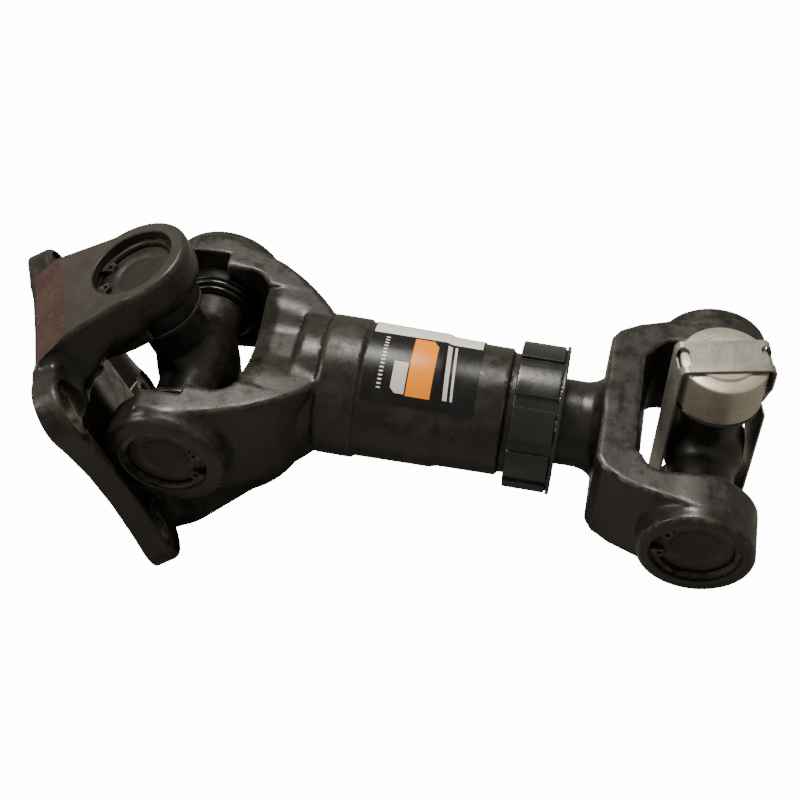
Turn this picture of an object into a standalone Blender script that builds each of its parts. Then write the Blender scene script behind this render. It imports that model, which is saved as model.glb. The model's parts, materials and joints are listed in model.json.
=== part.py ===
"""Universal joint slip shaft: a flange yoke, two crosses with needle bearing cups, a sleeve yoke
with a splined stub yoke in it, and a transport strap round the two cups that are still loose.

Each rigid group is modelled in the frame of the joint it turns on. Those frames are empties:
x runs along the shaft, y along the pins held in the sleeve yoke and in the stub yoke, and z along
the other pair of pins. The assembly lies on the ground with its front joint folded.
"""

import math

import bmesh
import bpy
from mathutils import Vector

# ---------------------------------------------------------------- driving dimensions (metres)
GAP = 0.0003                      # clearance between solids that touch on the real part

# The lie of the assembly, in degrees: how far each joint is turned from straight
SHAFT_DROP = 3.434                # the shaft points down towards the stub yoke
SHAFT_ROLL = 8.872                # the sleeve yoke's pins rise towards the back
FLANGE_FOLD = -24.9               # front cross about the sleeve yoke's pins
FLANGE_SWING = 23.1               # flange yoke about its own pins
END_FOLD = -1.0                   # end cross about the stub yoke's pins
STRAP_TURN = 13.0                 # loose cups and strap about the end cross

JOINT_SPACING = 0.2137            # from joint centre to joint centre

# Cross kit, 34.93 x 106.36 mm
CUP_RADIUS = 0.01746
CROSS_HALF = 0.05318              # joint centre to a cup's end face
CUP_LENGTH = 0.0200
CUP_BORE = 0.0147
CUP_FLOOR = 0.0036
TRUNNION_RADIUS = 0.0113
TRUNNION_END = CROSS_HALF - CUP_FLOOR - GAP
ARM_RADIUS = 0.0130
ARM_END = 0.0282
BODY_RADIUS = 0.0172
SEAL_OUTER = 0.0168
ROLLER_RADIUS = 0.00135
ROLLER_PITCH = 0.0130
ROLLER_COUNT = 14

# Eyes of the yokes
BORE_RADIUS = CUP_RADIUS + GAP
RING_OUTER = 0.0183
RING_INNER = 0.0156
RING_THICKNESS = 0.0015
RING_START = CROSS_HALF + GAP
GROOVE_RADIUS = RING_OUTER + GAP

# Sleeve yoke
SLEEVE_EYE_FACE = 0.0561
SLEEVE_EYE_RADIUS = 0.0250
SLEEVE_INNER_FACE = 0.0340
SLEEVE_ARM_HEIGHT = 0.0245
SLEEVE_WEB_FRONT = 0.0250
SHOULDER_X = 0.0530
SHOULDER_RADIUS = 0.0293
BLOCK_X = 0.0430                  # the round block between the web and the tube
BLOCK_RADIUS = 0.0270
TUBE_END = 0.1312
SLEEVE_END = 0.1470
PLUG_RADIUS = 0.0165
EYE_RECESS_FACE = 0.0405          # inner face round the eyes, outside the arms' own inner face
EYE_RECESS_RADIUS = 0.0205
SLEEVE_RECESS_X = 0.0045          # the recess is open to the front of this

# Splines
SPLINE_TEETH = 16
SPLINE_MAJOR = 0.0176
SPLINE_MINOR = 0.0154
SPLINE_START = 0.0580
SPLINE_STOP = 0.1260
FEMALE_START = 0.0460
FEMALE_STOP = 0.1165
NECK_START = 0.1270
NECK_RADIUS = 0.01785

# Dust cap
CAP_START = 0.1342
CAP_END = 0.1540
CAP_RADIUS = 0.0294
CAP_RIB_RADIUS = 0.0305
CAP_LANDS = 10
CAP_LAND_TURN = 12.2

# Stub yoke, measured from the end joint's centre
STUB_EYE_FACE = 0.0571
STUB_EYE_RADIUS = 0.0232
STUB_INNER_FACE = 0.0345
STUB_ARM_HEIGHT = 0.0215
STUB_BASE = -0.0440
STUB_WEB = -0.0258

# Flange yoke, x points from the mounting face to the joint centre
MOUNT_FACE = -0.0502
PLATE_FACE = -0.0402
BOLT_Y = 0.0440
BOLT_Z = 0.0385
BOLT_HOLE_RADIUS = 0.0065
LUG_RADIUS = 0.0140
SPOTFACE_RADIUS = 0.0118
SPOTFACE_X = -0.0417
WAIST_Y = 0.0514
FLANGE_EYE_FACE = 0.0590
FLANGE_EYE_RADIUS = 0.0240
FLANGE_INNER_FACE = 0.0340
FLANGE_FACET_X = -0.0308          # where the machined ear face meets the sloping facet
FLANGE_FACET_Z = 0.0525           # where that facet reaches the mounting face
FLANGE_SWING_LIMIT = 27.3         # clearance is cut in the plate up to this angle
FLANGE_RECESS_X = -0.0080         # the ears' inner edges are cut back from here to their ends

# Strap
STRAP_HALF_WIDTH = 0.0080
STRAP_THICKNESS = 0.0008
STRAP_INSIDE = 0.0180
STRAP_TOP = CROSS_HALF + GAP

# Label
LABEL_START = 0.0728
LABEL_END = 0.1190
LABEL_THICKNESS = 0.0003
LABEL_FROM = 41.0
LABEL_SWEEP = 108.0

# Facets round a full turn
FINE = 36
MEDIUM = 24
COARSE = 20

FINISHES = {
    "casting": ((0.018, 0.017, 0.015), 0.42, 0.35),
    "machined": ((0.30, 0.29, 0.27), 0.35, 0.9),
    "loose_cup": ((0.52, 0.50, 0.45), 0.38, 0.9),
    "strap_steel": ((0.34, 0.34, 0.33), 0.35, 0.9),
    "spring_steel": ((0.035, 0.034, 0.032), 0.4, 0.7),
    "seal_rubber": ((0.02, 0.02, 0.02), 0.6, 0.0),
    "black_plastic": ((0.016, 0.016, 0.016), 0.38, 0.0),
    "label_film": ((0.012, 0.012, 0.013), 0.2, 0.0),
}

CENTRE = Vector((0.0, 0.0, 0.0))
ALONG_X = (0.0, math.radians(90), 0.0)
ALONG_Y = (math.radians(-90), 0.0, 0.0)
AGAINST_Y = (math.radians(90), 0.0, 0.0)
ALONG_Z = (0.0, 0.0, 0.0)
AGAINST_Z = (math.radians(180), 0.0, 0.0)


# ---------------------------------------------------------------- scene helpers
def clear_scene():
    for old in list(bpy.data.objects):
        bpy.data.objects.remove(old, do_unlink=True)


def new_collection(name):
    collection = bpy.data.collections.new(name)
    bpy.context.scene.collection.children.link(collection)
    return collection


def frame(name, parent=None, location=(0, 0, 0), degrees=(0, 0, 0)):
    """An empty on a joint centre, turned from its parent."""
    empty = bpy.data.objects.new(name, None)
    empty.empty_display_size = 0.02
    empty.parent = parent
    empty.location = location
    empty.rotation_euler = [math.radians(angle) for angle in degrees]
    PARTS.objects.link(empty)
    return empty


def give_finish(part, slot):
    colour, roughness, metallic = FINISHES[slot]
    material = bpy.data.materials.new(part.name + "_finish")
    material.use_nodes = True
    shader = material.node_tree.nodes["Principled BSDF"]
    shader.inputs["Base Color"].default_value = (*colour, 1.0)
    shader.inputs["Roughness"].default_value = roughness
    shader.inputs["Metallic"].default_value = metallic
    material.diffuse_color = (*colour, 1.0)
    part.data.materials.clear()
    part.data.materials.append(material)


def place(mesh, name, parent, slot=None, turn=ALONG_Z, location=(0, 0, 0)):
    """Make an object of a mesh: a part where a finish is named, otherwise a cutter."""
    placed = bpy.data.objects.new(name, mesh)
    placed.parent = parent
    placed.rotation_euler = turn
    placed.location = location
    if slot is None:
        CUTTERS.objects.link(placed)
        placed.hide_render = True
        placed.display_type = "WIRE"
    else:
        PARTS.objects.link(placed)
        give_finish(placed, slot)
    return placed


def combine(target, tool, operation):
    boolean = target.modifiers.new(operation.lower() + "_" + tool.name, "BOOLEAN")
    boolean.operation = operation
    boolean.solver = "EXACT"
    boolean.object = tool


def cut(target, *tools):
    for tool in tools:
        combine(target, tool, "DIFFERENCE")


def join(target, *tools):
    for tool in tools:
        combine(target, tool, "UNION")


def smooth(part, degrees=35):
    part.data.shade_smooth()
    part.data.set_sharp_from_angle(angle=math.radians(degrees))


# ---------------------------------------------------------------- shape helpers
def arc(centre_x, centre_y, radius, start, stop, steps):
    """Points along an arc, with its angles in degrees."""
    points = []
    for step in range(steps + 1):
        angle = math.radians(start + (stop - start) * step / steps)
        points.append((centre_x + radius * math.cos(angle), centre_y + radius * math.sin(angle)))
    return points


def mirrored(half):
    """A half outline from bottom to top at positive y, closed by its mirror image."""
    return half + [(x, -y) for x, y in reversed(half)]


def turned_mesh(name, profile, steps=MEDIUM):
    """A solid of revolution about z. The profile's (radius, z) points run down its outer side."""
    mesh = bpy.data.meshes.new(name + "_profile")
    edges = [(i, i + 1) for i in range(len(profile) - 1)]
    if profile[0][0] > 1e-6:
        edges.append((len(profile) - 1, 0))
    mesh.from_pydata([(radius, 0.0, z) for radius, z in profile], edges, [])
    holder = bpy.data.objects.new(name + "_holder", mesh)
    CUTTERS.objects.link(holder)
    screw = holder.modifiers.new("turn", "SCREW")
    screw.axis = "Z"
    screw.angle = math.radians(360)
    screw.steps = steps
    screw.render_steps = steps
    screw.use_merge_vertices = True
    screw.merge_threshold = 0.00001
    screw.use_smooth_shade = True
    return evaluated_mesh(holder, name)


def plate_mesh(name, outline, low, high, holes=()):
    """A flat outline in the xy plane made solid from z = low to z = high."""
    curve = bpy.data.curves.new(name + "_outline", "CURVE")
    curve.dimensions = "2D"
    curve.fill_mode = "BOTH"
    curve.extrude = (high - low) / 2
    for points in (outline, *holes):
        spline = curve.splines.new("POLY")
        spline.points.add(len(points) - 1)
        for point, (x, y) in zip(spline.points, points):
            point.co = (x, y, 0.0, 1.0)
        spline.use_cyclic_u = True
    holder = bpy.data.objects.new(name + "_holder", curve)
    CUTTERS.objects.link(holder)
    mesh = evaluated_mesh(holder, name)
    for vertex in mesh.vertices:
        vertex.co.z += (low + high) / 2
    return mesh


def evaluated_mesh(holder, name):
    """The mesh that a curve or a modified object shows, with its seams welded."""
    graph = bpy.context.evaluated_depsgraph_get()
    mesh = bpy.data.meshes.new_from_object(holder.evaluated_get(graph))
    mesh.name = name
    bpy.data.objects.remove(holder, do_unlink=True)
    welded = bmesh.new()
    welded.from_mesh(mesh)
    bmesh.ops.remove_doubles(welded, verts=welded.verts, dist=0.000001)
    bmesh.ops.recalc_face_normals(welded, faces=welded.faces)
    welded.to_mesh(mesh)
    welded.free()
    return mesh


def rod_mesh(name, radius, low, high, steps=MEDIUM):
    """A plain cylinder about z."""
    mesh = bpy.data.meshes.new(name)
    built = bmesh.new()
    bmesh.ops.create_cone(built, cap_ends=True, segments=steps, radius1=radius, radius2=radius,
                          depth=high - low)
    bmesh.ops.translate(built, verts=built.verts, vec=(0, 0, (low + high) / 2))
    built.to_mesh(mesh)
    built.free()
    return mesh


def box_mesh(name, low, high):
    mesh = bpy.data.meshes.new(name)
    built = bmesh.new()
    bmesh.ops.create_cube(built, size=1.0)
    size = [top - bottom for bottom, top in zip(low, high)]
    middle = [(top + bottom) / 2 for bottom, top in zip(low, high)]
    bmesh.ops.scale(built, verts=built.verts, vec=size)
    bmesh.ops.translate(built, verts=built.verts, vec=middle)
    built.to_mesh(mesh)
    built.free()
    return mesh


def toothed_outline(teeth, outer, inner, outer_half, inner_half, phase=0.0):
    """A spline or rib outline. The half angles, in degrees, are those of a tooth's tip and root."""
    points = []
    for tooth in range(teeth):
        middle = phase + 360 * tooth / teeth
        for radius, offset in ((inner, -inner_half), (outer, -outer_half),
                               (outer, outer_half), (inner, inner_half)):
            angle = math.radians(middle + offset)
            points.append((radius * math.cos(angle), radius * math.sin(angle)))
    return points


# ---------------------------------------------------------------- cross kit
def cup_mesh():
    chamfer = 0.0006
    profile = [(0.0, CROSS_HALF),
               (CUP_RADIUS - chamfer, CROSS_HALF),
               (CUP_RADIUS, CROSS_HALF - chamfer),
               (CUP_RADIUS, CROSS_HALF - CUP_LENGTH),
               (CUP_BORE, CROSS_HALF - CUP_LENGTH),
               (CUP_BORE, CROSS_HALF - CUP_FLOOR),
               (0.0, CROSS_HALF - CUP_FLOOR)]
    return turned_mesh("bearing_cup", profile)


def needle_mesh():
    """A full ring of needle rollers, with the thin cage that makes them one solid."""
    outline = []
    inside = []
    web = ROLLER_RADIUS * 0.35
    crest = ROLLER_RADIUS * 0.9
    reach = math.degrees(ROLLER_RADIUS / ROLLER_PITCH)
    half_step = 180 / ROLLER_COUNT
    for roller in range(ROLLER_COUNT):
        middle = 360 * roller / ROLLER_COUNT
        for offset, depth in ((-half_step, web), (-0.5 * reach, crest), (0.5 * reach, crest)):
            angle = math.radians(middle + offset)
            for ring, radius in ((outline, ROLLER_PITCH + depth), (inside, ROLLER_PITCH - depth)):
                ring.append((radius * math.cos(angle), radius * math.sin(angle)))
    low = CROSS_HALF - CUP_LENGTH + 0.0020
    high = CROSS_HALF - CUP_FLOOR - 0.0006
    return plate_mesh("needle_set", outline, low, high, holes=(inside,))


def seal_mesh():
    """A stepped lip seal on the trunnion, between the cup's mouth and the cross's shoulder."""
    bore = TRUNNION_RADIUS + GAP
    mouth = CROSS_HALF - CUP_LENGTH - GAP
    shoulder = ARM_END + GAP
    profile = [(SEAL_OUTER, mouth),
               (SEAL_OUTER, shoulder + 0.0018),
               (SEAL_OUTER - 0.0020, shoulder),
               (bore, shoulder),
               (bore, mouth)]
    return turned_mesh("trunnion_seal", profile, COARSE)


def ring_mesh():
    """An internal snap ring, with two holed lugs at its gap."""
    gap_angle = 17.0
    lug_angle = 33.0
    lug_radius = 0.0122
    hole_radius = 0.0010
    outline = arc(0, 0, RING_OUTER, gap_angle, 360 - gap_angle, 20)
    outline += arc(0, 0, lug_radius, 360 - gap_angle, 360 - lug_angle, 1)
    outline += arc(0, 0, RING_INNER, 360 - lug_angle - 3, lug_angle + 3, 16)
    outline += arc(0, 0, lug_radius, lug_angle, gap_angle, 1)
    holes = []
    for side in (1, -1):
        angle = math.radians(side * (gap_angle + lug_angle) / 2)
        middle = 0.0140
        hole = arc(middle * math.cos(angle), middle * math.sin(angle), hole_radius, 0, 288, 4)
        holes.append(hole)
    return plate_mesh("snap_ring", outline, RING_START, RING_START + RING_THICKNESS, holes)


def build_cross(name, joint):
    """A forged cross with four ground trunnions."""
    cross = place(rod_mesh(name, TRUNNION_RADIUS, -TRUNNION_END, TRUNNION_END), name, joint,
                  "casting")
    other_trunnions = place(rod_mesh(name, TRUNNION_RADIUS, -TRUNNION_END, TRUNNION_END),
                            name + "_trunnions", joint, turn=ALONG_Y)
    arms = place(rod_mesh(name, ARM_RADIUS, -ARM_END, ARM_END), name + "_arms", joint)
    other_arms = place(rod_mesh(name, ARM_RADIUS, -ARM_END, ARM_END), name + "_other_arms",
                       joint, turn=ALONG_Y)
    ball = arc(0, 0, BODY_RADIUS, 72, -72, 8)
    profile = [(0.0, ball[0][1])] + ball + [(0.0, ball[-1][1])]
    body = place(turned_mesh(name, profile, COARSE), name + "_body", joint, turn=ALONG_X)
    join(cross, arms, other_trunnions, other_arms, body)
    smooth(cross)


def build_bearings(prefix, joint, turns, meshes, slot="machined", ring_spins=(0.0, 0.0)):
    """The cup, needles, seal and snap ring at both ends of one pair of pins."""
    for (side, turn), spin in zip(turns, ring_spins or (None, None)):
        place(meshes["cup"], f"{prefix}_cup_{side}", joint, slot, turn=turn)
        place(meshes["needles"], f"{prefix}_needles_{side}", joint, "machined", turn=turn)
        place(meshes["seal"], f"{prefix}_seal_{side}", joint, "seal_rubber", turn=turn)
        if spin is not None:
            about_y = turns == Y_PINS
            spun = [turn[0], math.radians(spin) if about_y else 0.0,
                    0.0 if about_y else math.radians(spin)]
            place(meshes["ring"], f"{prefix}_snap_ring_{side}", joint, "spring_steel", turn=spun)


def eye_cutters(name, joint, turns, face):
    """The bore for a cup and the groove for its ring, in each of a yoke's two eyes."""
    cutters = []
    for side, turn in turns:
        outside = face + 0.004
        groove_top = RING_START + RING_THICKNESS + GAP
        profile = [(BORE_RADIUS, outside),
                   (BORE_RADIUS, groove_top),
                   (GROOVE_RADIUS, groove_top),
                   (GROOVE_RADIUS, CROSS_HALF),
                   (BORE_RADIUS, CROSS_HALF),
                   (BORE_RADIUS, 0.028)]
        profile = [(0.0, outside)] + profile + [(0.0, 0.028)]
        cutters.append(place(turned_mesh(name, profile, MEDIUM), f"{name}_bore_{side}", joint,
                             turn=turn))
    return cutters


def eye_boss(name, joint, turn, radius, inner_face, outer_face, edge=0.0022):
    """A round eye whose outer edge is rounded off."""
    profile = [(0.0, outer_face),
               (radius - edge, outer_face),
               (radius - edge * 0.3, outer_face - edge * 0.35),
               (radius, outer_face - edge),
               (radius, inner_face),
               (0.0, inner_face)]
    return place(turned_mesh(name, profile, FINE), name, joint, turn=turn)


def eye_recess(name, joint, turn):
    """The machined recess round an eye, in the arm's inner face."""
    return place(rod_mesh(name, EYE_RECESS_RADIUS, 0.0200, EYE_RECESS_FACE, FINE), name, joint,
                 turn=turn)


Y_PINS = (("front", AGAINST_Y), ("rear", ALONG_Y))
Z_PINS = (("upper", ALONG_Z), ("lower", AGAINST_Z))


# ---------------------------------------------------------------- sleeve yoke and its fittings
def build_sleeve_yoke(joint):
    shoulder_step = 0.0700
    profile = [(0.0, SLEEVE_END),
               (0.0250, SLEEVE_END),
               (0.0250, TUBE_END + 0.0010),
               (0.0264, TUBE_END),
               (0.0268, 0.1060),
               (0.0277, 0.1040),
               (0.0281, shoulder_step + 0.0020),
               (SHOULDER_RADIUS, shoulder_step),
               (SHOULDER_RADIUS, SHOULDER_X + 0.0020),
               (BLOCK_RADIUS, SHOULDER_X),
               (BLOCK_RADIUS, BLOCK_X + 0.0012),
               (BLOCK_RADIUS - 0.0014, BLOCK_X),
               (0.0, BLOCK_X)]
    yoke = place(turned_mesh("sleeve_yoke", profile, FINE), "sleeve_yoke", joint, "casting",
                 turn=ALONG_X)
    half = [(-0.0100, 0.0505), (0.0060, 0.0495), (0.0290, 0.0415), (0.0420, 0.0330),
            (0.0520, 0.0235), (0.0560, 0.0190)]
    outline = mirrored(half)
    arms = place(plate_mesh("sleeve_arms", outline, -SLEEVE_ARM_HEIGHT, SLEEVE_ARM_HEIGHT),
                 "sleeve_arms", joint)
    join(yoke, arms)
    for side, turn in Y_PINS:
        join(yoke, eye_boss(f"sleeve_eye_{side}", joint, turn, SLEEVE_EYE_RADIUS,
                            SLEEVE_INNER_FACE - 0.001, SLEEVE_EYE_FACE, 0.0027))
    corner = 0.0100
    window_half = arc(SLEEVE_WEB_FRONT - corner, SLEEVE_INNER_FACE - corner, corner, 0, 90, 4)
    window = [(-0.0400, -SLEEVE_INNER_FACE)]
    window += [(x, -y) for x, y in reversed(window_half)]
    window += window_half + [(-0.0400, SLEEVE_INNER_FACE)]
    cut(yoke, place(plate_mesh("sleeve_window", window, -0.035, 0.035), "sleeve_window", joint))
    for side, turn in Y_PINS:
        sign = 1 if turn == ALONG_Y else -1
        inner, outer = sorted((sign * 0.0200, sign * EYE_RECESS_FACE))
        opened = box_mesh("sleeve_recess", (-0.0400, inner, -0.0350), (SLEEVE_RECESS_X, outer, 0.0350))
        cut(yoke, eye_recess(f"sleeve_recess_{side}", joint, turn),
            place(opened, f"sleeve_recess_open_{side}", joint))
    # The web is lower than the arms, so that the flange yoke's ears can swing over it
    web_height = 0.0195
    throat = [(0.0100, 0.0172), (0.0245, 0.0172), (0.0315, web_height), (BLOCK_X, web_height),
              (BLOCK_X, 0.0600), (0.0100, 0.0600)]
    for side, flip in (("upper", 1), ("lower", -1)):
        outline = [(x, z * flip) for x, z in throat]
        mesh = plate_mesh("sleeve_throat", outline, -0.0262, 0.0262)
        cut(yoke, place(mesh, f"sleeve_throat_{side}", joint, turn=AGAINST_Y))
    cut(yoke, *eye_cutters("sleeve_eye", joint, Y_PINS, SLEEVE_EYE_FACE))
    bore = [(0.0, 0.0500), (SPLINE_MAJOR + 0.0008, 0.0500), (SPLINE_MAJOR + 0.0008, 0.0440),
            (SPLINE_MINOR, 0.0440), (SPLINE_MINOR, 0.0340), (PLUG_RADIUS, 0.0340),
            (PLUG_RADIUS, 0.0100), (0.0, 0.0100)]
    cut(yoke, place(turned_mesh("sleeve_bore", bore, MEDIUM), "sleeve_bore", joint, turn=ALONG_X))
    female = toothed_outline(SPLINE_TEETH, SPLINE_MAJOR + GAP, SPLINE_MINOR + GAP, 5.2, 7.2)
    cut(yoke, place(plate_mesh("sleeve_splines", female, FEMALE_START, FEMALE_STOP + 0.001),
                    "sleeve_splines", joint, turn=ALONG_X))
    cut(yoke, place(rod_mesh("sleeve_mouth", NECK_RADIUS + 0.0005, FEMALE_STOP, 0.1600),
                    "sleeve_mouth", joint, turn=ALONG_X))
    smooth(yoke)


def build_sleeve_plug(joint):
    radius = PLUG_RADIUS - GAP
    profile = [(0.0, 0.0325), (radius - 0.0040, 0.0330), (radius, 0.0337), (radius, 0.0312),
               (radius - 0.0040, 0.0305), (0.0, 0.0300)]
    place(turned_mesh("sleeve_plug", profile, COARSE), "sleeve_plug", joint, "machined",
          turn=ALONG_X)


def build_dust_cap(joint):
    """A plastic cap with raised lands over the sleeve's end, and the lip seal that it holds."""
    ribs = toothed_outline(CAP_LANDS, CAP_RIB_RADIUS, CAP_RADIUS, 13.2, 14.4, CAP_LAND_TURN)
    cap = place(plate_mesh("dust_cap", ribs, CAP_START, CAP_END - 0.0012), "dust_cap", joint,
                "black_plastic", turn=ALONG_X)
    lip = place(rod_mesh("dust_cap_lip", 0.0311, CAP_END - 0.0016, CAP_END, FINE),
                "dust_cap_lip", joint, turn=ALONG_X)
    join(cap, lip)
    wall = CAP_END - 0.0020
    profile = [(0.0, CAP_END + 0.01), (NECK_RADIUS + 0.0007, CAP_END + 0.01),
               (NECK_RADIUS + 0.0007, wall), (0.0250 + GAP, wall), (0.0250 + GAP, 0.1300),
               (0.0, 0.1300)]
    cut(cap, place(turned_mesh("dust_cap_hollow", profile, FINE), "dust_cap_hollow", joint,
                   turn=ALONG_X))
    smooth(cap)
    low = SLEEVE_END + GAP
    high = wall - GAP
    bore = NECK_RADIUS + GAP
    profile = [(0.0246, high), (0.0246, low), (bore, low), (bore, high)]
    place(turned_mesh("dust_cap_seal", profile, COARSE), "dust_cap_seal", joint, "seal_rubber",
          turn=ALONG_X)


def build_label(joint):
    """A printed film round the tube, following its step."""
    lift = 0.0004
    line = [(0.0281 + lift, LABEL_START), (0.0277 + lift, 0.1040), (0.0268 + lift, 0.1060),
            (0.0266 + lift, LABEL_END)]
    closed = line + [(radius + LABEL_THICKNESS, x) for radius, x in reversed(line)]
    steps = 12
    sheet = bmesh.new()
    rings = []
    for step in range(steps + 1):
        angle = math.radians(LABEL_FROM + LABEL_SWEEP * step / steps)
        ring = []
        for radius, x in closed:
            ring.append(sheet.verts.new((x, -radius * math.cos(angle), radius * math.sin(angle))))
        rings.append(ring)
    count = len(closed)
    for first, second in zip(rings, rings[1:]):
        for i in range(count):
            j = (i + 1) % count
            sheet.faces.new((first[i], first[j], second[j], second[i]))
    for ring in (rings[0], rings[-1]):
        for i in range(3):
            sheet.faces.new((ring[i], ring[i + 1], ring[count - 2 - i], ring[count - 1 - i]))
    bmesh.ops.recalc_face_normals(sheet, faces=sheet.faces)
    mesh = bpy.data.meshes.new("tube_label")
    sheet.to_mesh(mesh)
    sheet.free()
    smooth(place(mesh, "tube_label", joint, "label_film"))


# ---------------------------------------------------------------- stub yoke
def build_stub_yoke(joint):
    """The splined shaft, its smooth neck and the yoke forged on its end."""
    start = SPLINE_START - JOINT_SPACING
    stop = SPLINE_STOP - JOINT_SPACING
    neck = NECK_START - JOINT_SPACING
    core = SPLINE_MINOR - 0.0004
    profile = [(0.0, STUB_BASE + 0.0040),
               (0.0235, STUB_BASE + 0.0040),
               (0.0222, STUB_BASE),
               (0.0190, STUB_BASE - 0.0030),
               (NECK_RADIUS, STUB_BASE - 0.0070),
               (NECK_RADIUS, neck + 0.0010),
               (NECK_RADIUS - 0.0010, neck),
               (core, neck - 0.0004),
               (core, start + 0.0020),
               (core - 0.0020, start),
               (0.0, start)]
    stub = place(turned_mesh("stub_yoke", profile, FINE), "stub_yoke", joint, "casting",
                 turn=ALONG_X)
    male = toothed_outline(SPLINE_TEETH, SPLINE_MAJOR, SPLINE_MINOR, 4.2, 6.2)
    join(stub, place(plate_mesh("stub_splines", male, start + 0.001, stop), "stub_splines", joint,
                     turn=ALONG_X))
    half = [(STUB_BASE, 0.0335), (-0.0412, 0.0378), (-0.0330, 0.0425), (-0.0200, 0.0468),
            (-0.0050, 0.0495), (0.0080, 0.0500)]
    arms = place(plate_mesh("stub_arms", mirrored(half), -STUB_ARM_HEIGHT, STUB_ARM_HEIGHT),
                 "stub_arms", joint)
    join(stub, arms)
    for side, turn in Y_PINS:
        join(stub, eye_boss(f"stub_eye_{side}", joint, turn, STUB_EYE_RADIUS,
                            STUB_INNER_FACE - 0.001, STUB_EYE_FACE))
    corner = 0.0090
    window_half = arc(STUB_WEB + corner, STUB_INNER_FACE - corner, corner, 180, 90, 4)
    window = [(0.0400, -STUB_INNER_FACE)]
    window += [(x, -y) for x, y in reversed(window_half)]
    window += window_half + [(0.0400, STUB_INNER_FACE)]
    cut(stub, place(plate_mesh("stub_window", window, -0.035, 0.035), "stub_window", joint))
    # The web's edges fall away, so that the end cross can tip
    for side, flip in (("upper", 1), ("lower", -1)):
        wedge = [(STUB_WEB - 0.0001, 0.0080), (STUB_WEB - 0.0040, 0.0230),
                 (STUB_WEB - 0.0040, 0.0350), (0.0100, 0.0350), (0.0100, 0.0080)]
        outline = [(x, z * flip) for x, z in wedge]
        mesh = plate_mesh("stub_throat", outline, -0.0262, 0.0262)
        cut(stub, place(mesh, f"stub_throat_{side}", joint, turn=AGAINST_Y))
    cut(stub, *eye_cutters("stub_eye", joint, Y_PINS, STUB_EYE_FACE))
    smooth(stub)


# ---------------------------------------------------------------- flange yoke
def flange_plate_outline():
    """The plate in (y, z): four round lugs, and a waist between the lugs on each side."""
    waist = [(WAIST_Y, -0.0110), (WAIST_Y, 0.0110)]
    right = waist + arc(BOLT_Y, BOLT_Z, LUG_RADIUS, 0, 90, 5)
    left = [(-y, z) for y, z in reversed(right)]
    lower_left = [(-y, -z) for y, z in right[2:]]
    lower_right = [(y, -z) for y, z in reversed(right[2:])]
    return right + left + lower_left + lower_right


def flange_ear_outline():
    """One ear in (x, y): a round eye, with sides that spread towards the plate."""
    radius = FLANGE_EYE_RADIUS
    spread = 104.0
    eye = arc(0, 0, radius, -spread, spread, 16)
    return eye + [(FLANGE_FACET_X, 0.0278), (-0.0440, 0.0290), (-0.0440, -0.0290),
                  (FLANGE_FACET_X, -0.0278)]


def build_flange_yoke(joint):
    # The plate's outline is drawn in (y, z): its own z axis is turned onto x
    to_x = (math.radians(90), 0.0, math.radians(90))
    yoke = place(plate_mesh("flange_yoke", flange_plate_outline(), MOUNT_FACE, PLATE_FACE),
                 "flange_yoke", joint, "casting", turn=to_x)
    for side, turn in Z_PINS:
        ear = place(plate_mesh("flange_ear", flange_ear_outline(), FLANGE_INNER_FACE,
                               FLANGE_EYE_FACE), f"flange_ear_{side}", joint, turn=turn)
        bevel = ear.modifiers.new("rounded", "BEVEL")
        bevel.width = 0.0020
        bevel.segments = 2
        bevel.limit_method = "ANGLE"
        bevel.angle_limit = math.radians(50)
        join(yoke, ear)
    root = place(box_mesh("flange_root", (-0.0440, -0.0240, -0.0400),
                          (-0.0360, 0.0240, 0.0400)), "flange_root", joint)
    join(yoke, root)
    for side, turn in Z_PINS:
        # The sloping facet from the ear's machined face to the mounting face
        facet = [(FLANGE_FACET_X, FLANGE_EYE_FACE), (MOUNT_FACE, FLANGE_FACET_Z),
                 (MOUNT_FACE - 0.01, FLANGE_FACET_Z), (MOUNT_FACE - 0.01, FLANGE_EYE_FACE + 0.01),
                 (FLANGE_FACET_X, FLANGE_EYE_FACE + 0.01)]
        sign = 1 if turn == ALONG_Z else -1
        outline = [(x, z * sign) for x, z in facet]
        mesh = plate_mesh("flange_facet", outline, -0.06, 0.06)
        cut(yoke, place(mesh, f"flange_facet_{side}", joint, turn=AGAINST_Y))
    for side, turn in Z_PINS:
        # Towards the end of the ear its inner edge is cut back and rounded
        profile = [(0.0300, 0.0505), (0.0243, 0.0505), (0.0234, 0.0455), (0.0218, 0.0425),
                   (0.0196, EYE_RECESS_FACE), (0.0196, 0.0200), (0.0300, 0.0200)]
        relief = place(turned_mesh("flange_relief", profile, FINE), f"flange_relief_{side}", joint,
                       turn=turn)
        keep = box_mesh("flange_relief_end", (-0.0400, -0.0400, -0.0700),
                        (FLANGE_RECESS_X, 0.0400, 0.0700))
        cut(relief, place(keep, f"flange_relief_end_{side}", joint))
        cut(yoke, relief, eye_recess(f"flange_recess_{side}", joint, turn))
    cut(yoke, *eye_cutters("flange_eye", joint, Z_PINS, FLANGE_EYE_FACE))
    for side in (1, -1):
        mesh = plate_mesh("flange_clearance", swing_clearance_outline(side), -0.0300, 0.0300)
        cut(yoke, place(mesh, f"flange_clearance_{side}", joint))
    for number, (y, z) in enumerate(((1, 1), (-1, 1), (-1, -1), (1, -1)), 1):
        hole = [(0.0, -0.0300), (SPOTFACE_RADIUS, -0.0300), (SPOTFACE_RADIUS, SPOTFACE_X),
                (BOLT_HOLE_RADIUS, SPOTFACE_X), (BOLT_HOLE_RADIUS, -0.0600), (0.0, -0.0600)]
        mesh = turned_mesh("flange_bolt_hole", hole, COARSE)
        cut(yoke, place(mesh, f"flange_bolt_hole_{number}", joint, turn=ALONG_X,
                        location=(0, y * BOLT_Y, z * BOLT_Z)))
    smooth(yoke)


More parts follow.
